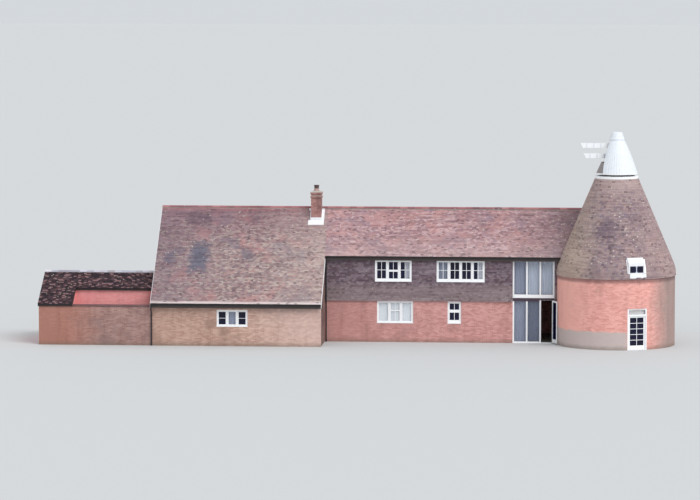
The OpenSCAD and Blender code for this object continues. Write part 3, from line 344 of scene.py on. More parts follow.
def glass_sheet(name, tint, alpha, clear_alpha, clear_boxes):
    """Dark panes, nearly opaque: a painted shade of the rooms behind; where cloth hangs close behind, in
    boxes of x0, x1, z0, z1, the sheet is clear, with a faint pale film of painted sky reflection.
    """
    mat = Mat(name, rough=0.03, **{"Specular IOR Level": 0.35})
    mat.m.surface_render_method = "BLENDED"
    front = mat.math("LESS_THAN", mat.xyz()[1], FRONT_Y + 1.0)
    clear = 0.0
    for x0, x1, z0, z1 in clear_boxes:
        here = mat.times(in_span(mat, ACROSS, KILN_X + x0, KILN_X + x1), in_span(mat, UP, z0, z1))
        clear = mat.math("MAXIMUM", here, clear)
    fac = mat.times(clear, front)
    c = mat.mix(mat.ramp(mat.noise(0.7, 3), 0.4, 0.6), lin(tint), lin(darker(tint)))
    # pale grey-blue where the sheet is clear: a faint painted reflection of the sky
    c = mat.mix(fac, c, lin((170, 178, 196)))
    mat.set(mat.bsdf, {"Alpha": mat.ramp(fac, 0, 1, alpha, clear_alpha)})
    return mat.done(c, mat.bump(mat.noise(1.6, 2), 0.04, 0.01))


def lights(w, frame_w=0.07):
    """The clear openings of a window between its mullions: x0, x1, z0, z1."""
    x, width, z0, z1, n = w
    light = (width - (n + 1) * frame_w) / n
    left = x - width / 2 + frame_w
    return [(left + i * (light + frame_w), left + i * (light + frame_w) + light, z0 + frame_w, z1 - frame_w)
            for i in range(n)]


def part_of(light, start, end):
    """The share of a light between two places across its width."""
    x0, x1, z0, z1 = light
    return (x0 + (x1 - x0) * start, x0 + (x1 - x0) * end, z0, z1)


# cloth close behind the glass, at which the glass is clear: piece, opening, cloth, folds, how far behind
CLOTHS = [("curtain_upper_left", part_of(lights(UPPER[0])[2], 0.45, 1.0), "cream", 4, 0.16),
          ("curtain_upper_grey", lights(UPPER[1])[0], "dim", 6, 0.16),
          ("curtain_upper_right", part_of(lights(UPPER[1])[3], 0.4, 1.0), "cream", 4, 0.16)]
CLOTHS += [("blind_lower_" + side, lights(LOWER[0])[i], "blind", 0, 0.13)
           for i, side in enumerate(("left", "middle", "right"))]
CLOTHS += [("curtain_barn_middle", lights(BARN_WINDOW)[1], "dim", 4, BARN_FRONT + 0.15)]
for row, height, finish, count in (("", SCREEN_UPPER, "screen", 3), ("low_", SCREEN_LOWER, "dark", 2)):
    CLOTHS += [("curtain_screen_%s%d" % (row, i + 1), (*across, *height), finish if i else "dim", 7, 0.24)
               for i, across in enumerate(SCREEN_LIGHTS[:count])]
# the fanlight's glass is clear over a blind of its own
FANLIGHT_CLEAR = (0.74, 1.7, 1.96, 2.32)

# the kiln brick's dark band just under the eaves, 3.72 to 3.86 m up, is a painted shadow of the eaves
kiln_brick = brick("kiln_brick_wall", (228, 152, 142), (252, 184, 173), (236, 206, 196), (206, 150, 140), 0.6,
                   round_wall=True, foot=((200, 190, 186), 1.02, 0.55, 0.9),
                   # painted light on the round wall: grey-brown painted shade graded in on the right, pale
                   # salmon painted light on the left
                   grades=[((158, 142, 136), ACROSS, 1.8, 2.9, 0.85),
                           ((255, 190, 176), ACROSS, -1.3, -2.7, 0.85), ((104, 78, 80), UP, 3.72, 3.86, 0.6)])
stowage_brick = brick("stowage_brick_wall", (196, 134, 128), (224, 166, 162), (216, 184, 178),
                      (178, 132, 126), 0.58, grades=[((192, 140, 134), ACROSS, -10.5, -17.5, 0.65)])
barn_brick = brick("barn_brick_wall", (188, 144, 128), (222, 186, 170), (216, 200, 186), (164, 134, 120), 0.5,
                   grades=[((172, 134, 118), ACROSS, -20.0, -27.0, 0.45),
                           ((236, 206, 200), ACROSS, -21.5, -17.5, 0.4)])
# the barn's side wall in dark brick: painted shade, standing for the wall in shadow
shaded_side_brick = brick("barn_side_brick_painted_shade", (120, 90, 84), (146, 116, 112), (150, 132, 126),
                   (104, 80, 78), 0.5)
# yard wall: above 2.2 m the brick is darkened, a painted shade of the coping's face
yard_brick = brick("yard_brick_wall", (152, 112, 106), (184, 146, 138), (186, 166, 156), (150, 122, 118), 0.5,
                   grades=[((182, 122, 104), ACROSS, -29.2, -31.2, 0.7), ((96, 70, 76), UP, 2.2, 2.21, 0.75)])
stack_brick = brick("chimney_brick", (152, 102, 96), (184, 136, 132), (190, 168, 160), (124, 92, 88), 0.55)
outhouse_brick = brick("outhouse_brick_wall", (248, 158, 158), (255, 176, 174), (240, 184, 178),
                       (228, 142, 140), 0.6)

main_tiles = clay_tiles(
    "main_roof_tiles", [(196, 158, 158), (206, 172, 176), (180, 142, 146), (200, 168, 168), (216, 186, 188),
                        (172, 138, 146), (190, 150, 150)],
    patches=[((158, 136, 150), 0.1, 0.6, 0.5), ((212, 160, 156), 0.12, 0.45, 0.9)], lichen=0.7,
    grades=[((214, 196, 194), UP, 6.2, 5.0, 0.35), ((134, 116, 122), ACROSS, -6.5, -2.5, 0.6)])
# catslide tiles: near white below 2.62 m, at the eaves, a painted highlight on the tiles' edge
barn_tiles = clay_tiles(
    "catslide_tiles", [(176, 154, 152), (188, 168, 162), (160, 136, 136), (196, 180, 172), (170, 150, 154),
                       (150, 126, 130), (184, 150, 148)],
    patches=[((134, 126, 140), 0.06, 0.5, 0.45), ((204, 148, 146), 0.08, 0.5, 0.7)], lichen=0.7,
    grades=[((144, 102, 116), UP, 5.4, 7.4, 0.6), ((226, 204, 196), ACROSS, -21.0, -16.0, 0.4),
            ((136, 116, 128), ACROSS, -22.0, -26.5, 0.5), ((196, 124, 130), UP, 7.3, 7.5, 0.6),
            ((244, 230, 228), UP, 2.62, 2.52, 0.8)],
    blots=[((104, 108, 128), -24.6, -23.3, 3.9, 5.8, 0.75), ((104, 104, 124), -26.1, -25.3, 4.3, 5.4, 0.6),
           ((108, 104, 124), -21.7, -20.7, 4.5, 5.5, 0.55), ((104, 84, 100), -25.1, -23.4, 6.4, 7.4, 0.55),
           ((108, 88, 104), -21.4, -20.5, 6.5, 7.3, 0.5)])
cone_tiles = clay_tiles(
    "cone_tiles", [(168, 146, 150), (178, 160, 160), (150, 130, 136), (172, 152, 150), (184, 158, 158),
                   (158, 138, 148)],
    patches=[((124, 106, 120), 0.12, 0.6, 0.7), ((196, 164, 160), 0.1, 0.4, 1.1)], lichen=1.0,
    grades=[((214, 192, 172), ACROSS, -0.9, -2.4, 0.65), ((192, 164, 160), ACROSS, 0.6, 2.4, 0.55),
            ((204, 180, 174), UP, 8.3, 9.3, 0.6)])
# hung tiles: darker from 4.4 m up to the eaves at 5.0 m, a painted shadow of the eaves
hung = clay_tiles(
    "hung_wall_tiles", [(126, 104, 114), (140, 122, 130), (114, 94, 104), (150, 132, 140), (132, 116, 128),
                        (108, 90, 100)], patches=[((156, 140, 150), 0.08, 0.5, 0.8)],
    grades=[((162, 146, 146), UP, 3.5, 3.1, 0.6), ((124, 104, 116), UP, 4.4, 5.0, 0.5)])
dark_tiles = clay_tiles(
    "outhouse_roof_tiles", [(58, 34, 42), (150, 116, 118), (38, 24, 34), (96, 66, 70), (66, 44, 54),
                            (44, 30, 40)], patches=[((122, 98, 104), 0.04, 0.5, 2.4)], lichen=0.6)
pale_ridge = clay_tiles("pale_ridge_clay", [(214, 214, 226), (196, 198, 212), (228, 226, 236),
                                            (180, 180, 192)])
ridge_clay = clay_tiles("ridge_clay", [(176, 116, 120), (164, 108, 112), (190, 132, 132), (158, 104, 110)],
                        patches=[((176, 150, 150), 0.05, 0.6, 0.8)], lichen=0.6)

white = paint("white_gloss_paint", (253, 254, 255), (224, 222, 218), dirt_share=0.08)
cowl_white = paint("cowl_white_paint", (236, 240, 246), (188, 190, 190), 0.5, 0.24, COWL_BOARDS)
dormer_paint = two_tone_paint("dormer_frame_paint", (206, 212, 232), (58, 54, 74), 0.06)
# the cowl's lip in grey: partly weathered boards, partly painted shade of the lip under the cowl's open side
lip_boards = paint("weathered_and_shaded_lip_boards", (150, 142, 140), (110, 102, 98), 0.7, boards=COWL_BOARDS)
lead = lead_sheet("lead_sheet", (216, 218, 226), (150, 153, 163))
bright_lead = lead_sheet("bright_lead_sheet", (250, 250, 252), (224, 224, 230))
# dark board paint: painted shade under the screen's white rail
rail_shade_paint = paint("screen_rail_painted_shade", (70, 54, 66), (96, 80, 90), 0.6, 0.12)
black = paint("black_rainwater_paint", (34, 34, 38), (74, 72, 72), 0.4, 0.12)
oak = wood("sawn_oak", (132, 106, 80), (92, 70, 50))
floor_boards = wood("floor_boards", (122, 92, 66), (84, 60, 42))
stone_floor = speckled("smooth_floor", (150, 146, 138))
SOOT_Z = STACK_TOP + 0.2
pot_clay = speckled("pot_clay", (206, 172, 166), 20, [((72, 54, 54), UP, SOOT_Z, SOOT_Z + 0.03, 0.9)])
mortar = speckled("lime_mortar", (200, 192, 184))
# the window glass: a dark navy sheet, 0.92 opaque, a painted shade of the rooms behind
pane = glass_sheet("window_glass_sheet", (10, 12, 50), 0.92, 0.12,
                   [opening for _, opening, *_ in CLOTHS] + [FANLIGHT_CLEAR])
CLOTH_FINISH = {
    "cream": cloth("cream_curtain_cloth", (250, 250, 255), (216, 218, 230)),
    "fan": cloth("fanlight_blind_cloth", (244, 238, 232), (224, 218, 212)),
    "blind": cloth("pale_blind_cloth", (252, 255, 255), (238, 246, 248)),
    "screen": cloth("screen_curtain_cloth", (214, 222, 234), (176, 186, 202)),
    "dim": cloth("grey_blue_curtain_cloth", (164, 170, 190), (126, 134, 156)),
    "dark": cloth("dark_blue_curtain_cloth", (112, 120, 142), (84, 92, 114))}
roof_slab = slab_finish("roof_slab_boards", (110, 90, 92), (78, 70, 68))
dark_slab = slab_finish("outhouse_slab_boards", (64, 46, 50), (50, 42, 44))
hung_wall = slab_finish("tile_hung_wall_backing", (110, 92, 96), (104, 88, 92))

FINISH = {
    kiln_brick: ["kiln_wall_" + part for part in ("front", "right", "rear", "left", "over_door")],
    stowage_brick: ["front_wall", "rear_wall", "gable_wall"],
    barn_brick: ["barn_front_wall", "barn_gable_wall", "barn_rear_wall"],
    shaded_side_brick: ["barn_side_wall"], yard_brick: ["yard_wall"], stack_brick: ["chimney_stack"],
    outhouse_brick: ["outhouse_walls"], dark_slab: ["outhouse_roof"],
    hung_wall: ["upper_front_wall", "upper_rear_wall", "upper_gable_wall"],
    roof_slab: ["front_roof", "rear_roof", "barn_roof"],
    cone_tiles: ["kiln_roof"], ridge_clay: ["ridge_tiles"], pot_clay: ["chimney_pot"],
    white: ["curb_ring", "kiln_door_frame", "kiln_door_leaf", "cowl_frame", "cowl_vane",
            "glazed_screen", "garden_door_leaf", "front_window_frames", "rear_window_frames"],
    cowl_white: ["cowl_hood", "cowl_cap"], lip_boards: ["cowl_lip"],
    bright_lead: ["dormer_surround"], dormer_paint: ["dormer_frame"],
    black: ["gutters", "downpipes", "hinge_pins"], oak: ["sprattle_beams"],
    floor_boards: ["upper_floor"], stone_floor: ["ground_floor"],
    pane: ["kiln_door_glass", "garden_door_glass", "front_glass", "rear_glass"]}
for material, names in FINISH.items():
    for node_name in names:
        for s in NODES[node_name].material_slots:
            s.material = material

# ---- mesh helpers


def mesh(name, verts, faces, material, body="building", smooth=False):
    data = bpy.data.meshes.new(name)
    data.from_pydata([tuple(v) for v in verts], [], [tuple(f) for f in faces])
    data.validate()
    data.materials.append(material)
    if smooth:
        data.shade_smooth()
    obj = bpy.data.objects.new(name, data)
    bpy.context.scene.collection.objects.link(obj)
    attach(obj, body)
    return obj


def grid_faces(rows, cols):
    """Faces over a grid of points laid out row by row."""
    n = cols + 1
    corners = [r * n + i for r in range(rows) for i in range(cols)]
    return [(k, k + 1, k + n + 1, k + n) for k in corners]


def by_the_door(x, y):
    """A place drawn at the kiln's front, turned round its axis to the door."""
    a = math.radians(DOOR_TURN)
    return x * math.cos(a) - y * math.sin(a), KILN_BACK + x * math.sin(a) + y * math.cos(a)


class Build:
    """Collects boxes and prisms into one mesh."""

    def __init__(self):
        self.v, self.f = [], []

    def add(self, verts, faces):
        base = len(self.v)
        self.v += [tuple(p) for p in verts]
        self.f += [tuple(base + i for i in f) for f in faces]

    def prism(self, low, high):
        """Two matching outlines, joined by side faces."""
        n = len(low)
        sides = [(i, (i + 1) % n, n + (i + 1) % n, n + i) for i in range(n)]
        self.add(list(low) + list(high), sides + [tuple(range(n))[::-1], tuple(range(n, 2 * n))])

    def box(self, x0, x1, y0, y1, z0, z1, chamfer=0.0):
        """A box, with its upright edges on the side towards -y eased."""
        c = chamfer
        if c:
            low = [(x0, y1), (x0, y0 + c), (x0 + c, y0), (x1 - c, y0), (x1, y0 + c), (x1, y1)]
        else:
            low = [(x0, y1), (x0, y0), (x1, y0), (x1, y1)]
        self.prism([place(x, y, z0) for x, y in low], [place(x, y, z1) for x, y in low])

    def door_box(self, x0, x1, y0, y1, z0, z1):
        low = [by_the_door(x, y) for x, y in ((x0, y1), (x0, y0), (x1, y0), (x1, y1))]
        self.prism([place(x, y, z0) for x, y in low], [place(x, y, z1) for x, y in low])

    def mirrored(self):
        """The same pieces on the rear wall."""
        mid = FRONT_Y + DEPTH / 2
        out = Build()
        out.v = [(x, 2 * mid - y, z) for x, y, z in self.v]
        out.f = [f[::-1] for f in self.f]
        return out

    def piece(self, name, material, slot, body="building"):
        return mesh(name, self.v, self.f, material, body)


# ---- tiles in general

TILE_SLOT = "roof_tiles"
HEAD_LIFT, TAIL_LIFT = 0.006, 0.019
LAP, LEAST_TILE = 1.15, 0.02
JOINT = (0.0008, 0.003)


def lay_tiles(name, rows, material):
    """rows: per tile the head's and tail's left and right points and the surface normal there."""
    tiles = np.array(rows, float)
    n = len(tiles)
    hl, hr, tl, tr, up = (tiles[:, i] for i in range(5))
    lift = (TAIL_LIFT + rng.uniform(-0.002, 0.003, n))[:, None]
    skew = rng.uniform(-0.0015, 0.0015, n)[:, None]
    top = np.stack([hl + up * HEAD_LIFT, hr + up * HEAD_LIFT,
                    tr + up * (lift + skew), tl + up * (lift - skew)], 1)
    under = np.stack([tr + up * (lift + skew - TILE_T), tl + up * (lift - skew - TILE_T),
                      hl - up * HEAD_LIFT, hr - up * HEAD_LIFT], 1)
    verts = np.concatenate([top, under], 1).reshape(-1, 3)
    base = (np.arange(n) * 8)[:, None, None]
    faces = (base + np.array([[0, 3, 2, 1], [2, 3, 5, 4], [3, 0, 6, 5], [1, 2, 4, 7]])[None]).reshape(-1, 4)
    return mesh(name, verts, faces, material)


def course_tiles(u0, u1, v0, v1, point, normal, holes=(), keep=None):
    """Plain tiles in courses, tails towards v1, with broken joints; holes are u0, u1, v0, v1."""
    out = []
    count = max(1, round((v1 - v0) / GAUGE))
    gauge = (v1 - v0) / count
    for r in range(count):
        tail = v1 - r * gauge
        head = max(v0, tail - gauge * LAP)
        mid = tail - gauge / 2
        start = u0 - (TILE_W / 2 if r % 2 else 0)
        for i in range(int((u1 - start) / TILE_W) + 1):
            a = max(u0, start + i * TILE_W) + rng.uniform(*JOINT)
            b = min(u1, start + (i + 1) * TILE_W) - rng.uniform(*JOINT)
            spans = [(a, b)]
            for h0, h1, k0, k1 in holes:
                if k0 < mid < k1:
                    spans = [p for s, e in spans for p in ((s, min(e, h0)), (max(s, h1), e)) if p[1] > p[0]]
            for s, e in spans:
                if e - s < LEAST_TILE or (keep and not keep((s + e) / 2, mid)):
                    continue
                t = tail + rng.uniform(-0.003, 0.003)
                out.append([point(s, head), point(e, head), point(s, t), point(e, t), normal(mid)])
    return out


# ---- main roof, catslide, outhouse roof; a ridge is given as depth, height and pitch

MAIN_RIDGE = (RIDGE_Y, RIDGE_Z, PITCH)
OUT_FRONT = BARN_FRONT + 0.225 + 1.225
OUT_REAR = OUT_FRONT + 3.8
OUT_RIDGE_Y, OUT_RIDGE_Z, OUT_PITCH = (BARN_FRONT + OUT_REAR) / 2 + 0.085, 3.96, math.radians(30)
OUT_RIDGE = (OUT_RIDGE_Y, OUT_RIDGE_Z, OUT_PITCH)
RIDGE_GAP, KILN_TUCK, STACK_GAP = 0.07, 0.03, 0.02
VERGE_OUT, EAVES_OUT, BARN_EAVES_OUT = 0.08, 0.285, 0.27
OUT_VERGE, OUT_EAVES_OUT = 0.05, 0.15


def slope_len(y0, y1, pitch):
    return abs(y1 - y0) / math.cos(pitch)


def slope_rows(ridge, side, x0, x1, foot_y, head_y=None, holes=(), keep=None):
    """Tiles down a slope, from just below the ridge or from head_y; side -1 faces the front."""
    y, z, pitch = ridge
    normal = np.array([0, side * math.sin(pitch), math.cos(pitch)])
    head = RIDGE_GAP if head_y is None else slope_len(y, head_y, pitch)
    return course_tiles(x0, x1, head, slope_len(y, foot_y, pitch),
                        lambda u, v: place(u, y + side * v * math.cos(pitch), z - v * math.sin(pitch)),
                        lambda v: normal, holes, keep)


def kiln_r(z):
    """Outer radius of the kiln, tiles and wall, at a height."""
    if z < CONE_FOOT_Z:
        return KILN_R
    foot_h = FOOT_R * math.sin(CONE_LEAN)
    if z < CONE_FOOT_Z + foot_h:
        return CONE_R - FOOT_R * (1 - math.cos(math.asin((z - CONE_FOOT_Z) / FOOT_R)))
    return CONE_R - FOOT_R * (1 - math.cos(CONE_LEAN)) - (z - CONE_FOOT_Z - foot_h) * math.tan(CONE_LEAN)


def outside_kiln(u, v):
    """Whether a place on the main roof's front slope is clear of the kiln."""
    y = RIDGE_Y - v * math.cos(PITCH) - KILN_BACK
    return math.hypot(u, y) > kiln_r(RIDGE_Z - v * math.sin(PITCH)) - KILN_TUCK


front_rows = slope_rows(MAIN_RIDGE, -1, STOWAGE_X, VERGE_OUT, -EAVES_OUT, keep=outside_kiln)
lay_tiles("front_slope_tiles", front_rows, main_tiles)
stack_hole = [(STACK_X - STACK_W / 2 - STACK_GAP, STACK_X + STACK_W / 2 + STACK_GAP,
               slope_len(RIDGE_Y, STACK_FRONT + STACK_W + STACK_GAP, PITCH),
               slope_len(RIDGE_Y, STACK_FRONT - STACK_GAP, PITCH))]
barn_foot = BARN_FRONT - BARN_EAVES_OUT
barn_rows = slope_rows(MAIN_RIDGE, -1, BARN_X - VERGE_OUT, STOWAGE_X, barn_foot, holes=stack_hole)
barn_rows += slope_rows(MAIN_RIDGE, -1, STOWAGE_X, STOWAGE_X + 0.04, barn_foot, head_y=-0.29)
lay_tiles("catslide_tiles", barn_rows, barn_tiles)
rear_rows = slope_rows(MAIN_RIDGE, 1, BARN_X - VERGE_OUT, VERGE_OUT, DEPTH + EAVES_OUT)
lay_tiles("rear_slope_tiles", rear_rows, main_tiles)

out_rows = slope_rows(OUT_RIDGE, -1, YARD_X - OUT_VERGE, BARN_X - 0.09, OUT_FRONT - OUT_EAVES_OUT,
                      keep=lambda u, v: u > BAY_X + OUT_VERGE)
out_rows += slope_rows(OUT_RIDGE, -1, YARD_X - OUT_VERGE, BAY_X + OUT_VERGE, BARN_FRONT - 0.09)
out_rows += slope_rows(OUT_RIDGE, 1, YARD_X - OUT_VERGE, BARN_X - 0.01, OUT_REAR + OUT_EAVES_OUT)
lay_tiles("outhouse_slope_tiles", out_rows, dark_tiles)

# ---- kiln cone: a lathed shell under rings of tiles, all inside the solid it stands for

DORMER_AT = math.radians(DORMER_TURN - 90)
DORMER_HALF_W, DORMER_FOOT_Z, DORMER_TOP_Z = 0.475, 4.33, 5.223
TILES_IN, SHELL_IN, SHELL_T = 0.021, 0.024, 0.19
STEP = 0.02

profile = [(CONE_R - FOOT_R * (1 - math.cos(a)), CONE_FOOT_Z + FOOT_R * math.sin(a))
           for a in np.linspace(0, CONE_LEAN, 12)]
profile = np.array(profile + [(kiln_r(CONE_TOP_Z), CONE_TOP_Z)])
steps = np.r_[0, np.cumsum(np.hypot(*np.diff(profile, axis=0).T))]


def in_dormer(a, r, z, edge):
    """Whether a place on the cone lies in the dormer, less an edge at each side."""
    off = abs(math.atan2(math.sin(a - DORMER_AT), math.cos(a - DORMER_AT))) * r
    return off < DORMER_HALF_W - edge and DORMER_FOOT_Z < z < DORMER_TOP_Z


def on_cone(s, inset=0.0):
    """Radius, height and the normal's lean at a length s up the slope."""
    r, z = np.interp(s, steps, profile[:, 0]), np.interp(s, steps, profile[:, 1])
    r2, z2 = np.interp(s + STEP, steps, profile[:, 0]), np.interp(s + STEP, steps, profile[:, 1])
    if s + STEP > steps[-1]:
        r2, z2 = r - STEP * math.sin(CONE_LEAN), z + STEP * math.cos(CONE_LEAN)
    n = np.array([z2 - z, r - r2])
    n /= np.hypot(*n)
    return r - inset * n[0], z - inset * n[1], n


def round_point(r, a, z):
    return np.array([KILN_X + r * math.cos(a), KILN_Y + r * math.sin(a), z])


def cone_rows():
    out = []
    count = round(steps[-1] / GAUGE)
    gauge = steps[-1] / count
    for k in range(count):
        s = k * gauge
        r, z, n = on_cone(s, TILES_IN)
        rh, zh, _ = on_cone(min(s + gauge * LAP, steps[-1]), TILES_IN)
        around = round(2 * math.pi * r / TILE_W)
        width = 2 * math.pi / around
        for i in range(around):
            a0 = (i + 0.5 * (k % 2)) * width + rng.uniform(0.001, 0.003) / r
            a1 = (i + 1 + 0.5 * (k % 2)) * width - rng.uniform(0.001, 0.003) / r
            mid = (a0 + a1) / 2
            if in_dormer(mid, r, z + 0.05, 0.02):
                continue
            up = np.array([n[0] * math.cos(mid), n[0] * math.sin(mid), n[1]])
            head = [round_point(rh, a0, zh), round_point(rh, a1, zh)]
            out.append(head + [round_point(r, a0, z), round_point(r, a1, z), up])
    return out


shell = Build()
rings = [on_cone(s, SHELL_IN)[:2] for s in np.linspace(0, steps[-1], 30)]
outline = rings + [(r - SHELL_T, z) for r, z in rings[::-1]]
AROUND = 96
for i in range(AROUND):
    a0, a1 = 2 * math.pi * i / AROUND, 2 * math.pi * (i + 1) / AROUND
    for (r0, z0), (r1, z1) in zip(outline, outline[1:] + outline[:1]):
        if not in_dormer((a0 + a1) / 2, r0, (z0 + z1) / 2, 0.05):
            corners = ((r0, a0, z0), (r0, a1, z0), (r1, a1, z1), (r1, a0, z1))
            shell.add([round_point(*c) for c in corners], [(0, 1, 2, 3)])
shell.piece("cone_battens", cone_tiles, "kiln_tiles")
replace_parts(lay_tiles("cone_tile_rings", cone_rows(), cone_tiles), "kiln_roof")

# ---- tile hanging, kicked out at its foot

HUNG_OUT = 0.04
FOOT_Z, KICK = 2.385, 0.25
SCREEN_POST, KILN_PIER = -5.92, (-3.52, -3.375)


def under_z(y):
    """Underside of the main roof."""
    return RIDGE_Z - abs(y - RIDGE_Y) * math.tan(PITCH) - ROOF_T / math.cos(PITCH)


HUNG_TOP = under_z(-HUNG_OUT)


def hung_rows(side, x0, x1, holes=()):
    def point(u, v):
        z = HUNG_TOP - v
        out = HUNG_OUT + (HUNG_OUT * (FOOT_Z + KICK - z) / KICK if z < FOOT_Z + KICK else 0)
        y = -out + 0.004
        return place(u, y if side < 0 else DEPTH - y, z)
    normal = np.array([0, side, 0.0])
    return course_tiles(x0, x1, 0.0, HUNG_TOP - FOOT_Z, point, lambda v: normal, holes)


def gable_keep(u, v):
    """Whether a place on the gable is below the roof and clear of the kiln."""
    z = under_z(RIDGE_Y) - v
    return (u > 2.0 and z < under_z(u) - 0.02
            and math.hypot(HUNG_OUT, u - KILN_BACK) > kiln_r(z) - KILN_TUCK)


window_holes = [(x - w / 2, x + w / 2, HUNG_TOP - z1, HUNG_TOP - z0) for x, w, z0, z1, n in UPPER]
wall_rows = hung_rows(-1, STOWAGE_X, SCREEN_POST, window_holes)
wall_rows += hung_rows(-1, *KILN_PIER)
lay_tiles("front_hung_tiles", wall_rows, hung)
lay_tiles("rear_hung_tiles", hung_rows(1, STOWAGE_X, HUNG_OUT, window_holes), hung)
gable_rows = course_tiles(0.0, DEPTH, 0.0, under_z(RIDGE_Y) - FOOT_Z,
                          lambda u, v: place(HUNG_OUT, u, under_z(RIDGE_Y) - v),
                          lambda v: np.array([1.0, 0, 0]), keep=gable_keep)
lay_tiles("gable_hung_tiles", gable_rows, hung)

# ---- ridge tiles and their bed

RIDGE_L, RIDGE_R, RIDGE_T, RIDGE_DROP = 0.42, 0.13, 0.018, 0.045
BED_HALF_W, BED_TOP_HALF_W, BED_H = 0.125, 0.06, 0.055


def ridge_row(x0, x1, y, z):
    out = Build()
    count = round((x1 - x0) / RIDGE_L)
    length = (x1 - x0) / count
    for i in range(count):
        a, b = x0 + i * length + 0.003, x0 + (i + 1) * length - 0.003
        outer = RIDGE_R + rng.uniform(-0.003, 0.0)
        dz = rng.uniform(-0.004, 0.0)
        arc = [(outer, t) for t in np.linspace(-80, 80, 15)]
        arc += [(outer - RIDGE_T, t) for t in np.linspace(80, -80, 15)]
        section = [(y + r * math.sin(math.radians(t)), z - RIDGE_DROP + dz + r * math.cos(math.radians(t)))
                   for r, t in arc]
        low, high = [place(a, *c) for c in section], [place(b, *c) for c in section]
        n = len(low)
        out.add(low + high, [(k, (k + 1) % n, n + (k + 1) % n, n + k) for k in range(n)])
        out.add(low, [(k, n - 1 - k, n - 2 - k, k + 1) for k in range(n // 2 - 1)])
        out.add(high, [(k, k + 1, n - 2 - k, n - 1 - k) for k in range(n // 2 - 1)])
    return out


main_ridge = ridge_row(BARN_X - VERGE_OUT, VERGE_OUT, RIDGE_Y, RIDGE_Z)
out_ridge = ridge_row(YARD_X - OUT_VERGE, BARN_X - 0.081, OUT_RIDGE_Y, OUT_RIDGE_Z)
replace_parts(main_ridge.piece("ridge_tile_row", ridge_clay, TILE_SLOT), "ridge_tiles")
out_ridge.piece("outhouse_ridge_row", pale_ridge, TILE_SLOT)
bed = Build()
for x0, x1, (y, z, pitch) in ((BARN_X - 0.078, 0.078, MAIN_RIDGE),
                              (YARD_X - 0.048, BARN_X - 0.082, OUT_RIDGE)):
    foot = z - BED_HALF_W * math.tan(pitch) - 0.02
    section = [(y - BED_HALF_W, foot), (y + BED_HALF_W, foot),
               (y + BED_TOP_HALF_W, z + BED_H), (y - BED_TOP_HALF_W, z + BED_H)]
    bed.prism([place(x0, *p) for p in section], [place(x1, *p) for p in section])
bed.piece("ridge_mortar_bed", mortar, TILE_SLOT)

# ---- windows: sashes and glazing bars

BAR_W, HEAVY_BAR = 0.028, 0.11
STILE_W, SASH_T, SASH_FOOT, SASH_GAP = 0.045, 0.034, 0.054, 0.004
UPPER_SASH_Y, LOWER_SASH_Y = -0.035, 0.045


def casement(out, light, y, bars=(), upright=False, foot=SASH_FOOT):
    """A sash in its light: stiles, rails, level bars as (share of height, thickness), one upright bar."""
    x0, x1, z0, z1 = light[0] + SASH_GAP, light[1] - SASH_GAP, light[2] + SASH_GAP, light[3] - SASH_GAP
    out.box(x0, x0 + STILE_W, y, y + SASH_T, z0, z1, 0.004)
    out.box(x1 - STILE_W, x1, y, y + SASH_T, z0, z1, 0.004)
    for a, b in ((z0, z0 + foot), (z1 - STILE_W, z1)):
        out.box(x0 + STILE_W, x1 - STILE_W, y, y + SASH_T, a, b)
    spans = [z0 + foot]
    for share, h in bars:
        z = z0 + (z1 - z0) * share
        out.box(x0 + STILE_W, x1 - STILE_W, y + 0.004, y + SASH_T, z - h / 2, z + h / 2)
        spans += [z - h / 2, z + h / 2]
    spans.append(z1 - STILE_W)
    if upright:
        mid = (x0 + x1) / 2
        for a, b in zip(spans[::2], spans[1::2]):
            out.box(mid - BAR_W / 2, mid + BAR_W / 2, y + 0.006, y + SASH_T - 0.002, a, b)


front_sashes = Build()
for window in UPPER:
    for i, light in enumerate(lights(window)):
        heavy = window[4] == 3 and i == 1
        bar = (0.5, HEAVY_BAR) if heavy else (0.54, BAR_W)
        casement(front_sashes, light, UPPER_SASH_Y, [bar], True, foot=0.1)
for i, light in enumerate(lights(LOWER[0])):
    casement(front_sashes, light, LOWER_SASH_Y, [(0.58, 0.05)] if i == 1 else [], i == 1)
casement(front_sashes, lights(LOWER[1])[0], LOWER_SASH_Y, [(0.57, 1.5 * HEAVY_BAR)], True, foot=0.13)
rear_sashes = front_sashes.mirrored()
for i, light in enumerate(lights(BARN_WINDOW)):
    casement(front_sashes, light, BARN_FRONT + LOWER_SASH_Y, [(0.5, 0.02)] if i != 1 else [])
rear_barn = Build()
for window in REAR_BARN_WINDOWS:
    for light in lights(window):
        casement(rear_barn, light, LOWER_SASH_Y, [(0.5, BAR_W)], True)
rear_barn = rear_barn.mirrored()
rear_sashes.add(rear_barn.v, rear_barn.f)
front_sashes.piece("front_sashes", white, "white_paint")
rear_sashes.piece("rear_sashes", white, "white_paint")

# lead drips over the upper windows
drips = Build()
for x, w, z0, z1, n in UPPER:
    drips.box(x - w / 2 - 0.05, x + w / 2 + 0.05, -0.10, -0.041, z1 + 0.001, z1 + 0.014)
rear_drips = drips.mirrored()
drips.add(rear_drips.v, rear_drips.f)
drips.piece("window_head_leads", lead, "lead")

# ---- curtains and blinds inside the glass

FOLD_DEEP, CLOTH_ROWS = 0.03, 8


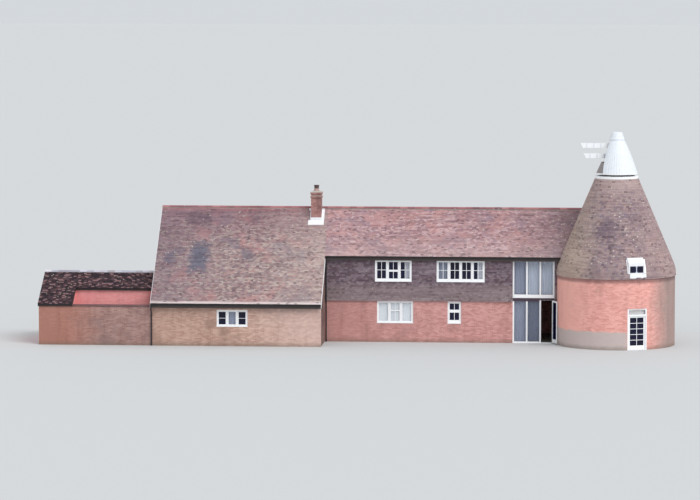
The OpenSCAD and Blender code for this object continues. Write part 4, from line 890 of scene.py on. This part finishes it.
def curtain(name, x0, x1, y, z0, z1, material, folds):
    cols = folds * 8 if folds else 4
    xs = np.linspace(x0, x1, cols + 1)
    verts = []
    for z in np.linspace(z1, z0, CLOTH_ROWS + 1):
        grow = 0.6 + 0.4 * (z1 - z) / (z1 - z0)
        for i, x in enumerate(xs):
            wave = FOLD_DEEP * grow * math.sin(2 * math.pi * folds * i / cols) if folds else 0
            verts.append(place(x, y + wave, z))

    def width(row):
        return float(np.sum(np.linalg.norm(np.diff(np.array(row), axis=0), axis=1))) if folds else x1 - x0

    obj = mesh(name, verts, grid_faces(CLOTH_ROWS, cols), material, smooth=bool(folds))
    flat_w = (width(verts[-cols - 1:]) + width(verts[:cols + 1])) / 2


for name, (x0, x1, z0, z1), finish, folds, behind in CLOTHS:
    curtain(name, x0, x1, behind, z0, z1, CLOTH_FINISH[finish], folds)

# ---- the kiln door's bars, in front of and behind its glass, and the blind in its fanlight

DOOR_GLASS = (-0.412, 0.412, 0.24, 1.832)
DOOR_BAR_LAYERS = ((-3.232, -3.2175), (-3.2075, -3.194))
DOOR_ROWS = 5
door_bars = Build()
gx0, gx1, gz0, gz1 = DOOR_GLASS
for y0, y1 in DOOR_BAR_LAYERS:
    door_bars.door_box(-BAR_W / 2, BAR_W / 2, y0, y1, gz0, gz1)
    for k in range(1, DOOR_ROWS):
        z = gz0 + (gz1 - gz0) * k / DOOR_ROWS
        for x0, x1 in ((gx0, -BAR_W / 2), (BAR_W / 2, gx1)):
            door_bars.door_box(x0, x1, y0, y1, z - BAR_W / 2, z + BAR_W / 2)
door_bars.piece("kiln_door_bars", white, "white_paint", "kiln_door")

FAN_HALF_W, FAN_Y, FAN_Z = 0.5, -3.16, (2.0, 2.29)
blind_at = [by_the_door(x, FAN_Y) for x in np.linspace(-FAN_HALF_W, FAN_HALF_W, 9)]
fan_verts = [place(x, y, z) for z in np.linspace(FAN_Z[1], FAN_Z[0], 5) for x, y in blind_at]
fan_blind = mesh("fanlight_blind", fan_verts, grid_faces(4, 8), CLOTH_FINISH["fan"])

# ---- the dormer's lead: an apron under its face, wavy at its foot on the right, and a strip up each side

LEAD_LIFT, LEAD_T = 0.006, 0.005
APRON_WAVE, WAVES = 0.12, 14.0


def cone_sheet(out, left, right, s0, s1, wave=0.0, cols=12, rows=6):
    """Lead lying on the cone from one distance left to one right of the dormer's middle."""
    grids = []
    for raised in (LEAD_LIFT, LEAD_LIFT + LEAD_T):
        for j in range(rows + 1):
            for i in range(cols + 1):
                u = left + (right - left) * i / cols
                s = s0 + (s1 - s0) * j / rows
                if j == 0 and u > 0:
                    s += wave * (1 + math.sin(WAVES * u)) / 2
                r, z, _ = on_cone(s, -raised)
                grids.append(round_point(r, DORMER_AT + u / r, z))
    w, n = cols + 1, len(grids) // 2
    quads = grid_faces(rows, cols)
    faces = quads + [tuple(n + k for k in q)[::-1] for q in quads]
    rim = list(range(w)) + [j * w + cols for j in range(1, rows + 1)]
    rim += [rows * w + i for i in range(cols - 1, -1, -1)] + [j * w for j in range(rows - 1, 0, -1)]
    faces += [(a, b, n + b, n + a)[::-1] for a, b in zip(rim, rim[1:] + rim[:1])]
    out.add(grids, faces)


dormer_lead = Build()
cone_sheet(dormer_lead, -0.4, 0.6, 0.07, 0.32, wave=APRON_WAVE)
cone_sheet(dormer_lead, DORMER_HALF_W + 0.004, DORMER_HALF_W + 0.12, 0.34, 1.16)
cone_sheet(dormer_lead, -DORMER_HALF_W - 0.06, -DORMER_HALF_W - 0.004, 0.34, 1.16)
dormer_lead.piece("dormer_apron_lead", bright_lead, "lead")

# ---- the dark board on the screen's middle rail, deeper over the two left-hand lights, a painted shade under the white rail

BOARD_X, BOARD_MID = SCREEN_LIGHTS[0][0] - 0.08, SCREEN_LIGHTS[1][1] + 0.01
BOARD_END, BOARD_BACK = SCREEN_LIGHTS[2][1] + 0.08, 0.0195
screen_board = Build()
for x1, y0, z0, z1 in ((BOARD_END, 0.010, 2.489, 2.59), (BOARD_MID, 0.010, 2.42, 2.489),
                       (BOARD_END, 0.006, 2.591, 2.604)):
    screen_board.box(BOARD_X, x1, y0, BOARD_BACK, z0, z1)
screen_board.piece("screen_rail_shade_board", rail_shade_paint, "white_paint")

# ---- battens across the cowl's two vane boards, each given as its foot and reach

VANES = ((11.25, 2.07), (10.66, 1.89))
VANE_H, VANE_HALF_T, VANE_SLANT = 0.277, 0.015, 0.14
BATTENS_ALONG, BATTEN_HALF_W, BATTEN_IN = (0.22, 0.62, 1.02), 0.03, 0.012
battens = Build()
for foot, reach in VANES:
    for side in (-1, 1):
        y0, y1 = sorted((side * (VANE_HALF_T + 0.0005), side * (VANE_HALF_T + 0.02)))
        for along in BATTENS_ALONG:
            x = -reach + VANE_SLANT + along
            battens.box(x - BATTEN_HALF_W, x + BATTEN_HALF_W, KILN_BACK + y0, KILN_BACK + y1,
                        foot + BATTEN_IN, foot + VANE_H - BATTEN_IN)
battens.piece("vane_battens", cowl_white, "white_paint", "cowl")

# ---- chimney lead and mortar

APRON_SIDE, APRON_DOWN, SHEET_LIFT, SHEET_T = 0.16, 0.27, 0.03, 0.006
SOAKERS, SOAKER_L = 6, 0.1
COURSE_H, COURSE_OUT = 0.11, 0.035
flash = Build()
sx0, sx1 = STACK_X - STACK_W / 2, STACK_X + STACK_W / 2
front, back = STACK_FRONT, STACK_FRONT + STACK_W


def roof_at(y):
    return RIDGE_Z - abs(y - RIDGE_Y) * math.tan(PITCH)


def on_slope(x0, x1, y0, y1):
    """A sheet of lead lying on the front slope."""
    corners = [(x, y, roof_at(y) + SHEET_LIFT) for x, y in ((x0, y0), (x1, y0), (x1, y1), (x0, y1))]
    flash.prism([place(*c) for c in corners], [place(x, y, z + SHEET_T) for x, y, z in corners])


def square_ring(half, z):
    mid = (sx0 + sx1) / 2, (front + back) / 2
    return [place(mid[0] + half * i, mid[1] + half * j, z) for i, j in ((-1, -1), (1, -1), (1, 1), (-1, 1))]


on_slope(sx0 - APRON_SIDE, sx1 + APRON_SIDE, front - APRON_DOWN, front)
on_slope(sx0 - 0.07, sx0 - 0.001, front + 0.001, back)
on_slope(sx1 + 0.001, sx1 + APRON_SIDE, front + 0.001, back)
flash.box(sx0 - 0.012, sx1 + 0.012, front - 0.006, front - 0.001, roof_at(front) - 0.02, roof_at(front) + 0.2)
for x0, x1 in ((sx0 - 0.006, sx0 - 0.001), (sx1 + 0.001, sx1 + 0.006)):
    for k in range(SOAKERS):
        y0 = front + k * SOAKER_L
        z = roof_at(y0) + 0.02
        flash.box(x0, x1, y0, y0 + SOAKER_L, z - 0.03, z + 0.21)
flash.box(sx0 - APRON_SIDE, sx1 + APRON_SIDE, back + 0.001, back + 0.006,
          roof_at(back) - 0.02, roof_at(back) + 0.14)
flash.piece("chimney_flashing", bright_lead, "lead")

# mortar round the pot, and a fillet on the ledge below the stack's top courses
cap = Build()
cap.prism(square_ring(STACK_W / 2 + 0.02, STACK_TOP + 0.0005), square_ring(0.19, STACK_TOP + 0.08))
ledge = STACK_TOP - 2 * COURSE_H
fillet_z = (ledge + 0.0005, ledge + 0.03)
outer = [square_ring(STACK_W / 2 + out, z) for out, z in zip((COURSE_OUT - 0.002, 0.008), fillet_z)]
inner = [square_ring(STACK_W / 2 + 0.0005, z) for z in fillet_z]
for i in range(4):
    j = (i + 1) % 4
    cap.prism(*[[out[i], out[j], back_of[j], back_of[i]] for out, back_of in zip(outer, inner)])
cap.piece("chimney_flaunching", mortar, "brick")

# ---- verge boards

BOARD_DOWN = 0.012
verges = Build()


def verge(x0, x1, y_top, y_foot):
    drop = ROOF_T / math.cos(PITCH)
    outline = [(y_top, roof_at(y_top) - BOARD_DOWN), (y_foot, roof_at(y_foot) - BOARD_DOWN),
               (y_foot, roof_at(y_foot) - drop), (y_top, roof_at(y_top) - drop)]
    verges.prism([place(x0, *p) for p in outline], [place(x1, *p) for p in outline])


barn_end, rear_end = BARN_FRONT - 0.235, DEPTH + 0.245
verge(BARN_X - 0.105, BARN_X - 0.0805, RIDGE_Y, barn_end)
verge(BARN_X - 0.105, BARN_X - 0.0805, RIDGE_Y, rear_end)
verge(0.0805, 0.105, RIDGE_Y, rear_end)
verge(STOWAGE_X + 0.0405, STOWAGE_X + 0.062, -0.43, barn_end)
verges.piece("verge_boards", white, "white_paint")

# ---- stage, camera and light

floor_mat = bpy.data.materials.new("pale_floor")
floor_mat.use_nodes = True
floor_bsdf = floor_mat.node_tree.nodes["Principled BSDF"]
floor_bsdf.inputs["Base Color"].default_value = (0.60, 0.61, 0.61, 1)
floor_bsdf.inputs["Roughness"].default_value = 0.9
bpy.ops.mesh.primitive_plane_add(size=1200, location=(0, 0, -0.002))
floor = bpy.context.object
floor.name = "studio_floor"
floor.data.materials.append(floor_mat)

# soft daylight, seen by the camera and in the glass as a plain grey
world = bpy.data.worlds.new("studio")
bpy.context.scene.world = world
world.use_nodes = True
tree = world.node_tree
sky = tree.nodes["Background"]
sky.inputs["Color"].default_value = (0.93, 0.96, 1.0, 1)
sky.inputs["Strength"].default_value = 0.8
seen = tree.nodes.new("ShaderNodeBackground")
seen.inputs["Color"].default_value = (0.66, 0.69, 0.72, 1)
seen.inputs["Strength"].default_value = 1.0
path = tree.nodes.new("ShaderNodeLightPath")
either = tree.nodes.new("ShaderNodeMath")
either.operation = "MAXIMUM"
mixer = tree.nodes.new("ShaderNodeMixShader")
for start, end in ((path.outputs["Is Camera Ray"], either.inputs[0]),
                   (path.outputs["Is Glossy Ray"], either.inputs[1]),
                   (either.outputs[0], mixer.inputs[0]), (sky.outputs[0], mixer.inputs[1]),
                   (seen.outputs[0], mixer.inputs[2]),
                   (mixer.outputs[0], tree.nodes["World Output"].inputs["Surface"])):
    tree.links.new(start, end)

sun = bpy.data.lights.new("soft_key", "SUN")
sun.energy = 1.62
sun.angle = math.radians(35)
sun_obj = bpy.data.objects.new("soft_key", sun)
bpy.context.scene.collection.objects.link(sun_obj)
sun_obj.rotation_euler = Vector((-0.65, 0.62, -0.9)).to_track_quat("-Z", "Y").to_euler()

# the photograph's place, 220 m in front and a little above, framed on the building
cam_data = bpy.data.cameras.new("camera")
cam = bpy.data.objects.new("camera", cam_data)
bpy.context.scene.collection.objects.link(cam)
cam.location = (KILN_X + 2.36, FRONT_Y - 220.0, 25.0)
target = Vector((KILN_X - 15.38, FRONT_Y + 1.145, 5.2))
cam.rotation_euler = (target - Vector(cam.location)).to_track_quat("-Z", "Y").to_euler()
cam_data.lens = 198
cam_data.clip_end = 2000
bpy.context.scene.camera = cam
bpy.context.scene.view_settings.view_transform = "Standard"
